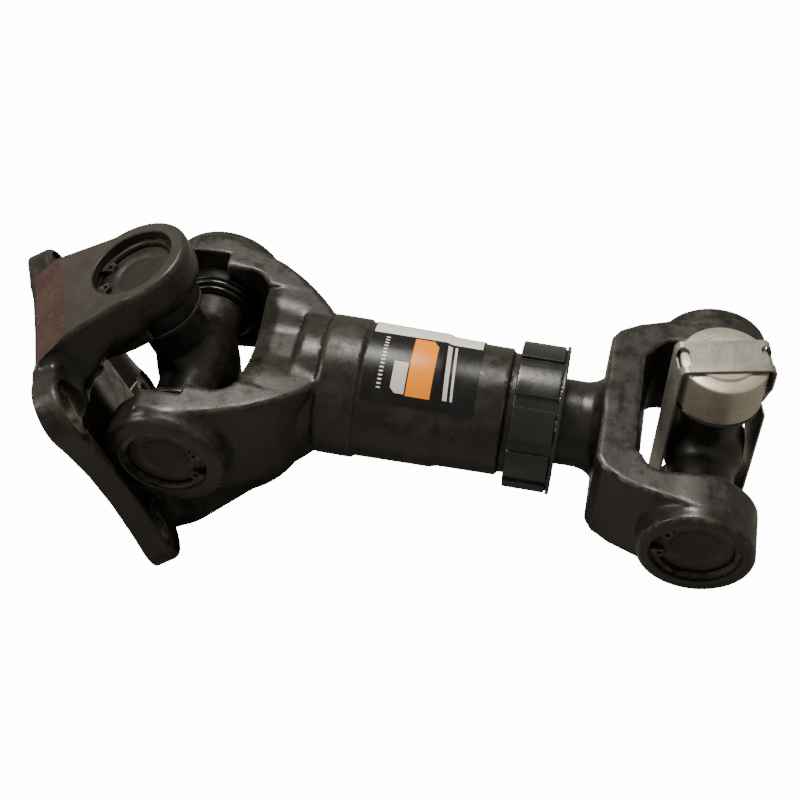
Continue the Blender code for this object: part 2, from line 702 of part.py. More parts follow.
def swing_clearance_outline(side):
    """The space that a sleeve yoke eye sweeps when the flange yoke swings, in (x, y)."""
    clearance = 0.0016
    reach = math.hypot(SLEEVE_EYE_RADIUS, SLEEVE_EYE_FACE - 0.0015) + clearance
    corner_angle = math.degrees(math.atan2(SLEEVE_EYE_RADIUS, SLEEVE_EYE_FACE - 0.0015))
    outer = 90 + FLANGE_SWING_LIMIT + corner_angle
    points = arc(0, 0, reach, 90, outer, 10)
    inner_distance = math.hypot(SLEEVE_EYE_RADIUS + clearance, 0.020)
    inner_angle = math.degrees(math.atan2(SLEEVE_EYE_RADIUS + clearance, 0.020))
    inner = math.radians(90 + FLANGE_SWING_LIMIT + inner_angle)
    points.append((inner_distance * math.cos(inner), inner_distance * math.sin(inner)))
    points.append((0.0, 0.0200))
    return [(x, y * side) for x, y in points]


# ---------------------------------------------------------------- transport strap
def build_strap(joint):
    """A thin steel strip bent round both loose cups, its ends lapped on the shaft's far side."""
    inside = STRAP_INSIDE
    top = STRAP_TOP
    thick = STRAP_THICKNESS
    bend = 0.0022
    lap = 0.0014
    inner = [(inside + lap + 0.0010, 0.0215), (inside + lap, 0.0300), (inside, 0.0400)]
    inner += [(inside, top - bend), (inside - bend, top)]
    inner += [(-inside + bend, top), (-inside, top - bend)]
    inner += [(-inside, -top + bend), (-inside + bend, -top)]
    inner += [(inside - bend, -top), (inside, -top + bend), (inside, 0.0270)]
    outline = inner + offset_path(inner, thick)[::-1]
    strap = place(plate_mesh("transport_strap", outline, -STRAP_HALF_WIDTH, STRAP_HALF_WIDTH),
                  "transport_strap", joint, "strap_steel", turn=AGAINST_Y)
    slot = stadium(0.0100, 0.0050)
    for side, x in (("left", -inside + 0.0015), ("right", inside - 0.0015)):
        for level, z in (("upper", top), ("lower", -top)):
            mesh = plate_mesh("strap_slot", slot, -0.0030, 0.0030)
            cut(strap, place(mesh, f"strap_slot_{side}_{level}", joint,
                             location=(x, 0.0, z)))
    # The free end is cut to a point; below the first level it stands clear of the other end
    along_tip = (math.radians(90), 0, math.radians(90))
    upper_tip = [(-0.0090, 0.0445), (-0.0090, 0.0285), (0.0001, 0.0285)]
    lower_tip = [(-0.0090, 0.0290), (-0.0090, 0.0180), (0.0060, 0.0180), (-0.0002, 0.0290)]
    for name, tip, low in (("strap_tip_upper", upper_tip, inside - 0.0005),
                           ("strap_tip_lower", lower_tip, inside + 0.0011)):
        mesh = plate_mesh(name, tip, low, inside + 0.0060)
        cut(strap, place(mesh, name, joint, turn=along_tip))


def stadium(length, width):
    radius = width / 2
    straight = (length - width) / 2
    points = arc(0, straight, radius, 0, 180, 6)
    points += arc(0, -straight, radius, 180, 360, 6)
    return points


def offset_path(points, distance):
    """The same open path moved to its right by a distance, with its corners mitred."""
    moved = []
    for i, point in enumerate(points):
        here = Vector(point)
        normals = []
        if i > 0:
            run = here - Vector(points[i - 1])
            normals.append(Vector((run.y, -run.x)).normalized())
        if i < len(points) - 1:
            run = Vector(points[i + 1]) - here
            normals.append(Vector((run.y, -run.x)).normalized())
        mean = sum(normals, Vector((0.0, 0.0))).normalized()
        moved.append(tuple(here + mean * (distance / mean.dot(normals[0]))))
    return moved


# ---------------------------------------------------------------- assembly
def set_down(root):
    """Move the assembly so that it rests on z = 0, centred over the origin."""
    bpy.context.view_layer.update()
    graph = bpy.context.evaluated_depsgraph_get()
    low = Vector((math.inf,) * 3)
    high = -low
    for part in PARTS.objects:
        if part.type != "MESH":
            continue
        for vertex in part.evaluated_get(graph).data.vertices:
            point = part.matrix_world @ vertex.co
            low = Vector(map(min, low, point))
            high = Vector(map(max, high, point))
    root.location.x -= (low.x + high.x) / 2
    root.location.y -= (low.y + high.y) / 2
    root.location.z -= low.z
    bpy.context.view_layer.update()


def build():
    root = frame("shaft_frame", degrees=(SHAFT_ROLL, SHAFT_DROP, 0))
    front_cross = frame("front_cross_frame", root, degrees=(0, FLANGE_FOLD, 0))
    flange = frame("flange_frame", front_cross, degrees=(0, 0, FLANGE_SWING))
    stub = frame("stub_frame", root, location=(JOINT_SPACING, 0, 0))
    end_cross = frame("end_cross_frame", stub, degrees=(0, END_FOLD, 0))
    strap = frame("strap_frame", end_cross, degrees=(0, 0, STRAP_TURN))
    meshes = {"cup": cup_mesh(), "needles": needle_mesh(), "seal": seal_mesh(),
              "ring": ring_mesh()}
    build_sleeve_yoke(root)
    build_sleeve_plug(root)
    build_dust_cap(root)
    build_label(root)
    build_bearings("sleeve", root, Y_PINS, meshes, ring_spins=(0.0, 0.0))
    build_cross("front_cross", front_cross)
    build_flange_yoke(flange)
    build_bearings("flange", flange, Z_PINS, meshes, ring_spins=(165.0, 0.0))
    build_stub_yoke(stub)
    build_bearings("stub", stub, Y_PINS, meshes, ring_spins=(187.0, 0.0))
    build_cross("end_cross", end_cross)
    build_bearings("loose", strap, Z_PINS, meshes, slot="loose_cup", ring_spins=None)
    build_strap(strap)
    set_down(root)


clear_scene()
PARTS = new_collection("universal_joint_shaft")
CUTTERS = new_collection("cutters")
build()
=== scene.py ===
"""Looks of the universal joint slip shaft.

Every visible CAD node is replaced by a finer piece on the same body. Castings are smooth fields
turned into meshes, then carved with sharp cutters. Sizes inside this file are millimetres in the
frame of the joint that a piece belongs to: x along the shaft, y along the pins held in the sleeve
yoke and in the stub yoke, z along the other pair of pins.
"""

import json
import math

import bmesh
import bpy
import numpy as np
from mathutils import Matrix, Vector


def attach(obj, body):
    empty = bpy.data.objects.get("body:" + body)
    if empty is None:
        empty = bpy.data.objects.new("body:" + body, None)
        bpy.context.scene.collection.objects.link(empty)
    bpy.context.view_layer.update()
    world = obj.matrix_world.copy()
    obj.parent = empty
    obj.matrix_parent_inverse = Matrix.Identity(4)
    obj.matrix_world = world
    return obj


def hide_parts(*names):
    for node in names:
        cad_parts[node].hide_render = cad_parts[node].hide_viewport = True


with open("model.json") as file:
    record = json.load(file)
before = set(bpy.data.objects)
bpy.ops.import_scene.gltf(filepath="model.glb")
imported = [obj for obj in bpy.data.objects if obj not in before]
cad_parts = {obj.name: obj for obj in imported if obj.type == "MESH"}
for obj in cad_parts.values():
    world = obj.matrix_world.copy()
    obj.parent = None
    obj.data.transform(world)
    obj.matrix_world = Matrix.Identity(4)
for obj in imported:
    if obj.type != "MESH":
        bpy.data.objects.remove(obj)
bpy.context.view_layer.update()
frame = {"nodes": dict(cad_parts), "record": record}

MM = 0.001

# ---------------------------------------------------------------- the lie of the assembly, degrees
SHAFT_DROP = 3.434
SHAFT_ROLL = 8.872
FLANGE_FOLD = -24.9
FLANGE_SWING = 23.1
END_FOLD = -1.0
STRAP_TURN = 13.0

# ---------------------------------------------------------------- sizes shared with the CAD, mm
JOINT_SPACING = 213.7
CUP_RADIUS = 17.46
CROSS_HALF = 53.18
CUP_LENGTH = 20.0
CUP_BORE = 14.7
CUP_FLOOR = 3.6
TRUNNION_RADIUS = 11.3
TRUNNION_END = 49.28
CAP_LAND_STEP = 36.0
CAP_LAND_ANGLE = 5.8
SLEEVE_EYE_FACE = 56.1
SLEEVE_EYE_RADIUS = 25.1
STUB_EYE_FACE = 57.1
STUB_EYE_RADIUS = 23.2
BOLT_HOLE_RADIUS = 6.5
SPOTFACE_RADIUS = 11.8
SPLINE_TEETH = 16
RING_RADIUS = 18.3
STRAP_HALF_WIDTH = 8.0
LABEL_FROM = 41.0
LABEL_SWEEP = 108.0
ARM_RADIUS = 13.0
ARM_END = 28.2
BODY_RADIUS = 17.2
BORE_RADIUS = 17.76
GROOVE_RADIUS = 18.6
RING_START = 53.48
RING_THICKNESS = 1.5
TUBE_END = 131.2
SLEEVE_END = 147.0
NECK_RADIUS = 17.85
MOUNT_FACE = -50.2
PLATE_FACE = -40.2
BOLT_Y = 44.0
BOLT_Z = 38.5
SPOTFACE_X = -41.7
FLANGE_EYE_FACE = 59.0
FACET_X = -30.8
FACET_Z = 52.5
STRAP_TOP = 53.48
EYE_RECESS_FACE = 40.5
EYE_RECESS_RADIUS = 20.5
SPLINE_START = 58.0
SPLINE_STOP = 126.0
NECK_START = 127.0

FLOOR_GLOW = 14.0
FIELD_STEP = 0.95
ROUND = 96

FRONT_Y = Matrix.Rotation(math.radians(90), 4, "X")
REAR_Y = Matrix.Rotation(math.radians(-90), 4, "X")
UPPER_Z = Matrix.Identity(4)
LOWER_Z = Matrix.Rotation(math.radians(180), 4, "X")
TURN_X = Matrix.Rotation(math.radians(90), 4, "Y")
Y_PINS = (("front", FRONT_Y), ("rear", REAR_Y))
Z_PINS = (("upper", UPPER_Z), ("lower", LOWER_Z))


# ---------------------------------------------------------------- frames
def turned(x=0.0, y=0.0, z=0.0):
    angles = [math.radians(angle) for angle in (x, y, z)]
    rotation = Matrix.Rotation(angles[2], 4, "Z") @ Matrix.Rotation(angles[1], 4, "Y")
    return rotation @ Matrix.Rotation(angles[0], 4, "X")


def joint_place(name):
    for joint in frame["record"]["behaviour"]["joints"]:
        if joint["name"] == name:
            return Vector(joint["pos_m"])
    raise SystemExit("no joint named " + name)


SHAFT = Matrix.Translation(joint_place("front_cross_fold")) @ turned(SHAFT_ROLL, SHAFT_DROP)
FRONT_CROSS = SHAFT @ turned(y=FLANGE_FOLD)
FLANGE = FRONT_CROSS @ turned(z=FLANGE_SWING)
STUB = SHAFT @ Matrix.Translation((JOINT_SPACING * MM, 0, 0))
END_CROSS = STUB @ turned(y=END_FOLD)
STRAP = END_CROSS @ turned(z=STRAP_TURN)


# ---------------------------------------------------------------- fields, mm
def smooth_min(first, second, blend):
    share = np.clip(0.5 + 0.5 * (second - first) / blend, 0, 1)
    return second + (first - second) * share - blend * share * (1 - share)


def smooth_max(first, second, blend):
    return -smooth_min(-first, -second, blend)


def smooth_step(share):
    share = np.clip(share, 0, 1)
    return share * share * (3 - 2 * share)


def polygon(u, v, points):
    """Distance to a closed outline, negative inside."""
    nearest = np.full(u.shape, np.inf)
    inside = np.zeros(u.shape, bool)
    for (u0, v0), (u1, v1) in zip(points, points[1:] + points[:1]):
        run_u, run_v = u1 - u0, v1 - v0
        from_u, from_v = u - u0, v - v0
        along = (from_u * run_u + from_v * run_v) / (run_u * run_u + run_v * run_v)
        along = np.clip(along, 0, 1)
        gap_u, gap_v = from_u - run_u * along, from_v - run_v * along
        nearest = np.minimum(nearest, gap_u * gap_u + gap_v * gap_v)
        if v0 != v1:
            level = (v >= min(v0, v1)) & (v < max(v0, v1))
            inside ^= level & (from_u < from_v * run_u / run_v)
    distance = np.sqrt(nearest)
    return np.where(inside, -distance, distance)


def thick(flat, t, low, high, edge=0.0):
    """A flat outline made solid between two heights, its edges rounded."""
    a = flat + edge
    b = np.abs(t - (low + high) / 2) - (high - low) / 2 + edge
    outside = np.hypot(np.maximum(a, 0), np.maximum(b, 0))
    return np.minimum(np.maximum(a, b), 0) + outside - edge


def disc(u, v, t, radius, low, high, edge=0.0):
    return thick(np.hypot(u, v) - radius, t, low, high, edge)


def arc(centre_u, centre_v, radius, start, stop, steps):
    angles = [math.radians(start + (stop - start) * i / steps) for i in range(steps + 1)]
    return [(centre_u + radius * math.cos(a), centre_v + radius * math.sin(a)) for a in angles]


def mirrored(half):
    return half + [(u, -v) for u, v in reversed(half)]


def in_slabs(field, axes):
    """The field's values on a grid, worked out a slab at a time."""
    values = np.empty([len(axis) for axis in axes], np.float32)
    y, z = np.meshgrid(axes[1], axes[2], indexing="ij")
    for i in range(0, len(axes[0]), 16):
        xs = axes[0][i:i + 16]
        shape = (len(xs),) + y.shape
        x = np.broadcast_to(xs[:, None, None], shape)
        values[i:i + 16] = field(x, np.broadcast_to(y, shape), np.broadcast_to(z, shape))
    return values


CORNERS = [(i, j, k) for i in (0, 1) for j in (0, 1) for k in (0, 1)]
CELL_EDGES = [(a, b) for a in CORNERS for b in CORNERS if sum(b) - sum(a) == 1
              and all(y >= x for x, y in zip(a, b))]


def net(field, low, high, step):
    """The zero surface of a field as a mesh of near-square quads, drawn on to the surface."""
    low = np.array(low, float)
    counts = np.ceil((np.array(high) - low) / step).astype(int) + 1
    axes = [low[i] + step * np.arange(counts[i]) for i in range(3)]
    values = in_slabs(field, axes)
    solid = values < 0
    filled = sum(solid[i:counts[0] - 1 + i, j:counts[1] - 1 + j, k:counts[2] - 1 + k].astype(np.int8)
                 for i, j, k in CORNERS)
    active = (filled > 0) & (filled < 8)
    cells = np.argwhere(active)
    number = np.full(active.shape, -1)
    number[active] = np.arange(len(cells))
    total = np.zeros((len(cells), 3))
    crossings = np.zeros(len(cells))
    for a, b in CELL_EDGES:
        start = cells + a
        end = cells + b
        value_a = values[tuple(start.T)].astype(float)
        value_b = values[tuple(end.T)].astype(float)
        crossed = (value_a < 0) != (value_b < 0)
        share = value_a[crossed] / (value_a[crossed] - value_b[crossed])
        total[crossed] += start[crossed] + share[:, None] * (np.array(b) - np.array(a))
        crossings[crossed] += 1
    points = low + step * total / crossings[:, None]
    quads = []
    for axis in range(3):
        second, third = (axis + 1) % 3, (axis + 2) % 3
        near = np.take(solid, range(counts[axis] - 1), axis)
        far = np.take(solid, range(1, counts[axis]), axis)
        for leaving in (True, False):
            edges = np.argwhere((near & ~far) if leaving else (~near & far))
            around = []
            for back_second, back_third in ((1, 1), (0, 1), (0, 0), (1, 0)):
                cell = edges.copy()
                cell[:, second] -= back_second
                cell[:, third] -= back_third
                around.append(number[tuple(cell.T)])
            ring = np.stack(around if leaving else around[::-1], axis=1)
            quads.append(ring)
    for _ in range(3):
        points = drawn_on(field, points, step)
    return points, np.concatenate(quads)


def drawn_on(field, points, step):
    x, y, z = points.T
    reach = 0.15
    slope = np.stack([field(x + reach, y, z) - field(x - reach, y, z),
                      field(x, y + reach, z) - field(x, y - reach, z),
                      field(x, y, z + reach) - field(x, y, z - reach)], axis=1) / (2 * reach)
    size = np.maximum((slope * slope).sum(axis=1), 0.2)
    move = np.clip(field(x, y, z), -0.4 * step, 0.4 * step)
    return points - slope * (move / size)[:, None]


# ---------------------------------------------------------------- meshes
def mesh_of(points, faces, name):
    mesh = bpy.data.meshes.new(name)
    mesh.vertices.add(len(points))
    mesh.vertices.foreach_set("co", (np.asarray(points) * MM).astype(np.float32).ravel())
    sizes = np.array([len(face) for face in faces])
    mesh.loops.add(int(sizes.sum()))
    mesh.loops.foreach_set("vertex_index", np.concatenate([np.asarray(f) for f in faces]))
    mesh.polygons.add(len(faces))
    starts = np.concatenate([[0], np.cumsum(sizes)[:-1]])
    mesh.polygons.foreach_set("loop_start", starts)
    mesh.update(calc_edges=True)
    mesh.validate()
    return mesh


def field_mesh(name, field, low, high, step=None):
    points, quads = net(field, low, high, step or FIELD_STEP)
    return mesh_of(points, list(quads), name)


def turned_mesh(name, profile, steps=ROUND):
    """A ring or solid turned about z. The (radius, z) profile runs down its outer side."""
    on_axis = [radius < 1e-6 for radius, z in profile]
    points = []
    index = []
    for (radius, z), centre in zip(profile, on_axis):
        if centre:
            index.append([len(points)] * steps)
            points.append((0.0, 0.0, z))
            continue
        index.append(list(range(len(points), len(points) + steps)))
        for step in range(steps):
            angle = 2 * math.pi * step / steps
            points.append((radius * math.cos(angle), radius * math.sin(angle), z))
    faces = []
    closed = not on_axis[0]
    pairs = list(zip(index, index[1:]))
    if closed:
        pairs.append((index[-1], index[0]))
    for upper, lower in pairs:
        for i in range(steps):
            j = (i + 1) % steps
            ring = [upper[i], lower[i], lower[j], upper[j]]
            face = [p for k, p in enumerate(ring) if p not in ring[:k]]
            if len(face) > 2:
                faces.append(face)
    return mesh_of(points, faces, name)


def plate_mesh(name, outline, low, high, holes=()):
    """A flat outline, with holes, made solid between two heights along z."""
    curve = bpy.data.curves.new(name, "CURVE")
    curve.dimensions = "2D"
    curve.fill_mode = "BOTH"
    curve.extrude = (high - low) / 2 * MM
    for points in (outline, *holes):
        spline = curve.splines.new("POLY")
        spline.points.add(len(points) - 1)
        for point, (u, v) in zip(spline.points, points):
            point.co = (u * MM, v * MM, 0.0, 1.0)
        spline.use_cyclic_u = True
    holder = bpy.data.objects.new(name, curve)
    bpy.context.scene.collection.objects.link(holder)
    mesh = mesh_from(holder, name)
    for vertex in mesh.vertices:
        vertex.co.z += (low + high) / 2 * MM
    return mesh


def mesh_from(holder, name):
    bpy.context.view_layer.update()
    graph = bpy.context.evaluated_depsgraph_get()
    mesh = bpy.data.meshes.new_from_object(holder.evaluated_get(graph))
    mesh.name = name
    bpy.data.objects.remove(holder, do_unlink=True)
    tidy = bmesh.new()
    tidy.from_mesh(mesh)
    bmesh.ops.remove_doubles(tidy, verts=tidy.verts, dist=0.000002)
    bmesh.ops.recalc_face_normals(tidy, faces=tidy.faces)
    tidy.to_mesh(mesh)
    tidy.free()
    return mesh


def moved(mesh, matrix):
    mesh.transform(matrix)
    return mesh


def shifted(x, y, z):
    return Matrix.Translation((x * MM, y * MM, z * MM))


def merged(name, *meshes):
    """Several closed meshes as one, each keeping its own material."""
    materials = []
    whole = bmesh.new()
    for mesh in meshes:
        offset = len(materials)
        materials += list(mesh.materials)
        first = len(whole.faces)
        whole.from_mesh(mesh)
        whole.faces.ensure_lookup_table()
        for face in whole.faces[first:]:
            face.material_index += offset
    result = bpy.data.meshes.new(name)
    whole.to_mesh(result)
    whole.free()
    for material in materials:
        result.materials.append(material)
    return result


def painted(mesh, material):
    mesh.materials.clear()
    mesh.materials.append(material)
    return mesh


def carved(mesh, *cutters, operation="DIFFERENCE"):
    """A mesh after each cutter has been taken from it. The cut faces take the cutter's material."""
    solid = bpy.data.objects.new(mesh.name, mesh)
    bpy.context.scene.collection.objects.link(solid)
    tools = []
    for cutter in cutters:
        tool = bpy.data.objects.new(cutter.name, cutter)
        bpy.context.scene.collection.objects.link(tool)
        tools.append(tool)
        boolean = solid.modifiers.new(cutter.name, "BOOLEAN")
        boolean.operation = operation
        boolean.solver = "EXACT"
        boolean.material_mode = "TRANSFER"
        boolean.object = tool
    result = mesh_from(solid, mesh.name)
    for tool in tools:
        bpy.data.objects.remove(tool, do_unlink=True)
    return result


def soften(mesh, degrees=38):
    """Smooth shading, with an edge kept wherever the surface or the material breaks."""
    mesh.shade_smooth()
    mesh.set_sharp_from_angle(angle=math.radians(degrees))
    edges = bmesh.new()
    edges.from_mesh(mesh)
    for edge in edges.edges:
        if len(edge.link_faces) == 2:
            first, second = edge.link_faces
            if first.material_index != second.material_index:
                edge.smooth = False
    edges.to_mesh(mesh)
    edges.free()


def piece(name, mesh, place, body, replaces=(), material=None, degrees=38):
    if material is not None:
        painted(mesh, material)
    soften(mesh, degrees)
    made = bpy.data.objects.new(name, mesh)
    bpy.context.scene.collection.objects.link(made)
    made.matrix_world = place
    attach(made, body)
    if replaces:
        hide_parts(*replaces)


# ---------------------------------------------------------------- materials
class Nodes:
    """Short names for the shader nodes that the materials use."""

    def __init__(self, name):
        self.material = bpy.data.materials.new(name)
        self.material.use_nodes = True
        self.tree = self.material.node_tree
        self.shader = self.tree.nodes["Principled BSDF"]
        self.place = self.tree.nodes.new("ShaderNodeTexCoord").outputs["Object"]

    def link(self, source, socket):
        self.tree.links.new(source, socket)

    def put(self, value, socket):
        if isinstance(value, bpy.types.NodeSocket):
            self.link(value, socket)
        elif isinstance(value, tuple) and len(value) == 3 and socket.type == "RGBA":
            socket.default_value = (*value, 1.0)
        else:
            socket.default_value = value

    def stretched(self, x, y, z):
        node = self.tree.nodes.new("ShaderNodeMapping")
        node.inputs["Scale"].default_value = (x, y, z)
        self.link(self.place, node.inputs["Vector"])
        return node.outputs["Vector"]

    def noise(self, scale, detail=4.0, rough=0.55, vector=None, distort=0.0):
        node = self.tree.nodes.new("ShaderNodeTexNoise")
        node.inputs["Scale"].default_value = scale
        node.inputs["Detail"].default_value = detail
        node.inputs["Roughness"].default_value = rough
        node.inputs["Distortion"].default_value = distort
        self.link(vector or self.place, node.inputs["Vector"])
        return node.outputs["Fac"]

    def cells(self, scale, vector=None):
        node = self.tree.nodes.new("ShaderNodeTexVoronoi")
        node.inputs["Scale"].default_value = scale
        self.link(vector or self.place, node.inputs["Vector"])
        return node.outputs["Distance"]

    def calc(self, operation, first, second=0.0):
        node = self.tree.nodes.new("ShaderNodeMath")
        node.operation = operation
        self.put(first, node.inputs[0])
        self.put(second, node.inputs[1])
        return node.outputs[0]

    def range(self, value, low, high, to_low=0.0, to_high=1.0):
        node = self.tree.nodes.new("ShaderNodeMapRange")
        self.put(value, node.inputs["Value"])
        node.inputs["From Min"].default_value = low
        node.inputs["From Max"].default_value = high
        node.inputs["To Min"].default_value = to_low
        node.inputs["To Max"].default_value = to_high
        return node.outputs["Result"]

    def mix(self, share, first, second):
        node = self.tree.nodes.new("ShaderNodeMix")
        node.data_type = "RGBA"
        self.put(share, node.inputs["Factor"])
        self.put(first, node.inputs["A"])
        self.put(second, node.inputs["B"])
        return node.outputs["Result"]

    def edges(self, low, high):
        node = self.tree.nodes.new("ShaderNodeNewGeometry")
        return self.range(node.outputs["Pointiness"], low, high)

    def axis(self, name):
        node = self.tree.nodes.new("ShaderNodeSeparateXYZ")
        self.link(self.place, node.inputs[0])
        return node.outputs[name]

    def radius(self):
        x = self.axis("X")
        y = self.axis("Y")
        square = self.calc("ADD", self.calc("MULTIPLY", x, x), self.calc("MULTIPLY", y, y))
        return self.calc("SQRT", square)

    def bumps(self, *layers):
        """Each layer is a height and its depth in metres."""
        normal = None
        for height, depth in layers:
            node = self.tree.nodes.new("ShaderNodeBump")
            node.inputs["Distance"].default_value = depth
            self.put(height, node.inputs["Height"])
            if normal is not None:
                self.link(normal, node.inputs["Normal"])
            normal = node.outputs["Normal"]
        self.link(normal, self.shader.inputs["Normal"])

    def set(self, **values):
        names = {"colour": "Base Color", "roughness": "Roughness", "metallic": "Metallic",
                 "specular": "Specular IOR Level", "coat": "Coat Weight",
                 "coat_roughness": "Coat Roughness"}
        for key, value in values.items():
            self.put(value, self.shader.inputs[names[key]])
        return self.material


def forging(name, dark, warm, gloss=(0.24, 0.46), wear=0.6, dusty=0.35):
    """Thin black paint over a forged skin: mottled, dusty in places, rubbed along its edges."""
    n = Nodes(name)
    broad = n.noise(28, 3, 0.5)
    mottle = n.noise(150, 6, 0.66)
    grain = n.noise(900, 3, 0.6)
    colour = n.mix(n.range(mottle, 0.36, 0.66), dark, warm)
    dust = n.calc("MULTIPLY", n.range(broad, 0.47, 0.66), n.range(mottle, 0.42, 0.62))
    colour = n.mix(n.calc("MULTIPLY", dust, dusty), colour, (0.045, 0.039, 0.031))
    rubbed = n.calc("MULTIPLY", n.edges(0.515, 0.56), n.range(n.noise(210, 5, 0.7), 0.40, 0.62))
    colour = n.mix(n.calc("MULTIPLY", rubbed, wear), colour, (0.12, 0.105, 0.085))
    specks = n.range(n.cells(520), 0.10, 0.04)
    specks = n.calc("MULTIPLY", specks, n.range(n.noise(60, 2), 0.53, 0.62))
    colour = n.mix(n.calc("MULTIPLY", specks, 0.7), colour, (0.24, 0.22, 0.19))
    rough = n.range(mottle, 0.35, 0.68, gloss[0], gloss[1])
    rough = n.calc("ADD", rough, n.calc("MULTIPLY", dust, 0.14))
    n.bumps((n.noise(70, 3, 0.5), 0.00008), (mottle, 0.00004), (grain, 0.00003))
    return n.set(colour=colour, roughness=rough, specular=0.36)


def ground_face(name, colours, scratch, metal=0.6, rough=(0.34, 0.55)):
    """A milled or ground face with fine scratches and stains."""
    n = Nodes(name)
    lines = n.noise(3.0, 5, 0.7, n.stretched(*scratch))
    stain = n.noise(75, 5, 0.62, distort=0.6)
    colour = n.mix(n.range(stain, 0.38, 0.64), colours[0], colours[1])
    colour = n.mix(n.calc("MULTIPLY", n.range(lines, 0.55, 0.72), 0.45), colour, colours[2])
    shade = n.range(n.noise(300, 4, 0.7), 0.3, 0.7, rough[0], rough[1])
    n.bumps((lines, 0.00006), (stain, 0.00008))
    return n.set(colour=colour, roughness=shade, metallic=metal)


def lathe_face(name, light, dark, metal=0.8, rough=(0.30, 0.5), rust=0.0, bore_shade=None):
    """Turned steel: fine rings about the pin's axis, stains, rust, and painted shade if asked for: the
    side below the rim, which sits in the bore, made near-black.
    """
    n = Nodes(name)
    rings = n.calc("SINE", n.calc("MULTIPLY", n.radius(), 7800.0))
    wobble = n.noise(240, 5, 0.7)
    cloud = n.noise(55, 4, 0.6, distort=0.4)
    colour = n.mix(n.range(cloud, 0.36, 0.66), dark, light)
    if rust:
        spots = n.range(n.noise(130, 6, 0.75, distort=0.8), 0.56, 0.68)
        spots = n.calc("MULTIPLY", spots, n.range(cloud, 0.40, 0.60))
        colour = n.mix(n.calc("MULTIPLY", spots, rust), colour, (0.20, 0.075, 0.025))
        metal = n.range(spots, 0.0, 1.0, metal, 0.15)
    if bore_shade:
        # Painted shade: the cup's side below 51.5 mm along its pin, inside the bore, takes the near-black
        # colour
        colour = n.mix(n.range(n.axis("Z"), 0.0515, 0.0525), bore_shade, colour)
    shade = n.range(wobble, 0.3, 0.7, rough[0], rough[1])
    n.bumps((rings, 0.000012), (wobble, 0.00004))
    return n.set(colour=colour, roughness=shade, metallic=metal)


def moulded(name, colour, rough, grain=0.00004, dusty=0.25):
    n = Nodes(name)
    cloud = n.noise(90, 4, 0.6)
    fine = n.noise(700, 3, 0.6)
    tone = n.mix(n.calc("MULTIPLY", n.range(cloud, 0.45, 0.72), dusty), colour,
                 (0.060, 0.055, 0.047))
    tone = n.mix(n.calc("MULTIPLY", n.edges(0.52, 0.58), 0.2), tone, (0.10, 0.10, 0.092))
    n.bumps((cloud, 0.00012), (fine, grain))
    return n.set(colour=tone, roughness=n.range(cloud, 0.3, 0.7, rough[0], rough[1]))


CAST = forging("black_paint", (0.0098, 0.0084, 0.0060), (0.0195, 0.0164, 0.0115))
CAST_STUB = forging("black_paint_scuffed", (0.0085, 0.0073, 0.0053), (0.0170, 0.0144, 0.0102), wear=0.9,
                    dusty=0.45)
CROSS_SKIN = forging("forged_cross", (0.0085, 0.0072, 0.0052), (0.0165, 0.0139, 0.0098), (0.30, 0.50))
EAR_FACE = ground_face("milled_ear", ((0.030, 0.025, 0.020), (0.046, 0.038, 0.030), (0.09, 0.076, 0.061)),
                       (60, 420, 60), 0.25)
FACET = ground_face("rubbed_facet", ((0.034, 0.008, 0.006), (0.050, 0.022, 0.015), (0.30, 0.20, 0.16)),
                    (150, 700, 150), 0.1)
BORE = ground_face("machined_bore", ((0.012, 0.011, 0.009), (0.024, 0.020, 0.016), (0.05, 0.045, 0.038)),
                   (40, 40, 500), 0.4)
MILLED = ground_face("milled_face", ((0.20, 0.19, 0.17), (0.28, 0.26, 0.24), (0.40, 0.38, 0.35)),
                     (60, 420, 60), 0.8)
# Cups held in a yoke's eye get painted shade on the side that sits in the bore
CUP_FACE = lathe_face("cup_end", (0.046, 0.039, 0.031), (0.020, 0.017, 0.014), 0.4, (0.30, 0.48),
                      bore_shade=(0.007, 0.006, 0.005))
LOOSE_CUP = lathe_face("bare_cup", (0.52, 0.475, 0.39), (0.36, 0.325, 0.265), 0.7, (0.30, 0.46), 0.6)
SPRING = forging("blackened_spring", (0.007, 0.0065, 0.0055), (0.016, 0.014, 0.011), (0.26, 0.42), 0.5)
RUBBER = moulded("seal_rubber", (0.0065, 0.0062, 0.0056), (0.22, 0.36), dusty=0.12)
PLASTIC = moulded("cap_plastic", (0.0075, 0.0072, 0.0066), (0.20, 0.34), dusty=0.16)
NEEDLE_STEEL = lathe_face("needle_steel", (0.60, 0.60, 0.58), (0.45, 0.45, 0.44), 1.0, (0.15, 0.25))


# ---------------------------------------------------------------- castings
def yoke_eye(x, y, z, radius, inner, outer, edge):
    """Both eyes of a yoke whose pins lie along y."""
    return disc(x, z, np.abs(y), radius, inner, outer, edge)


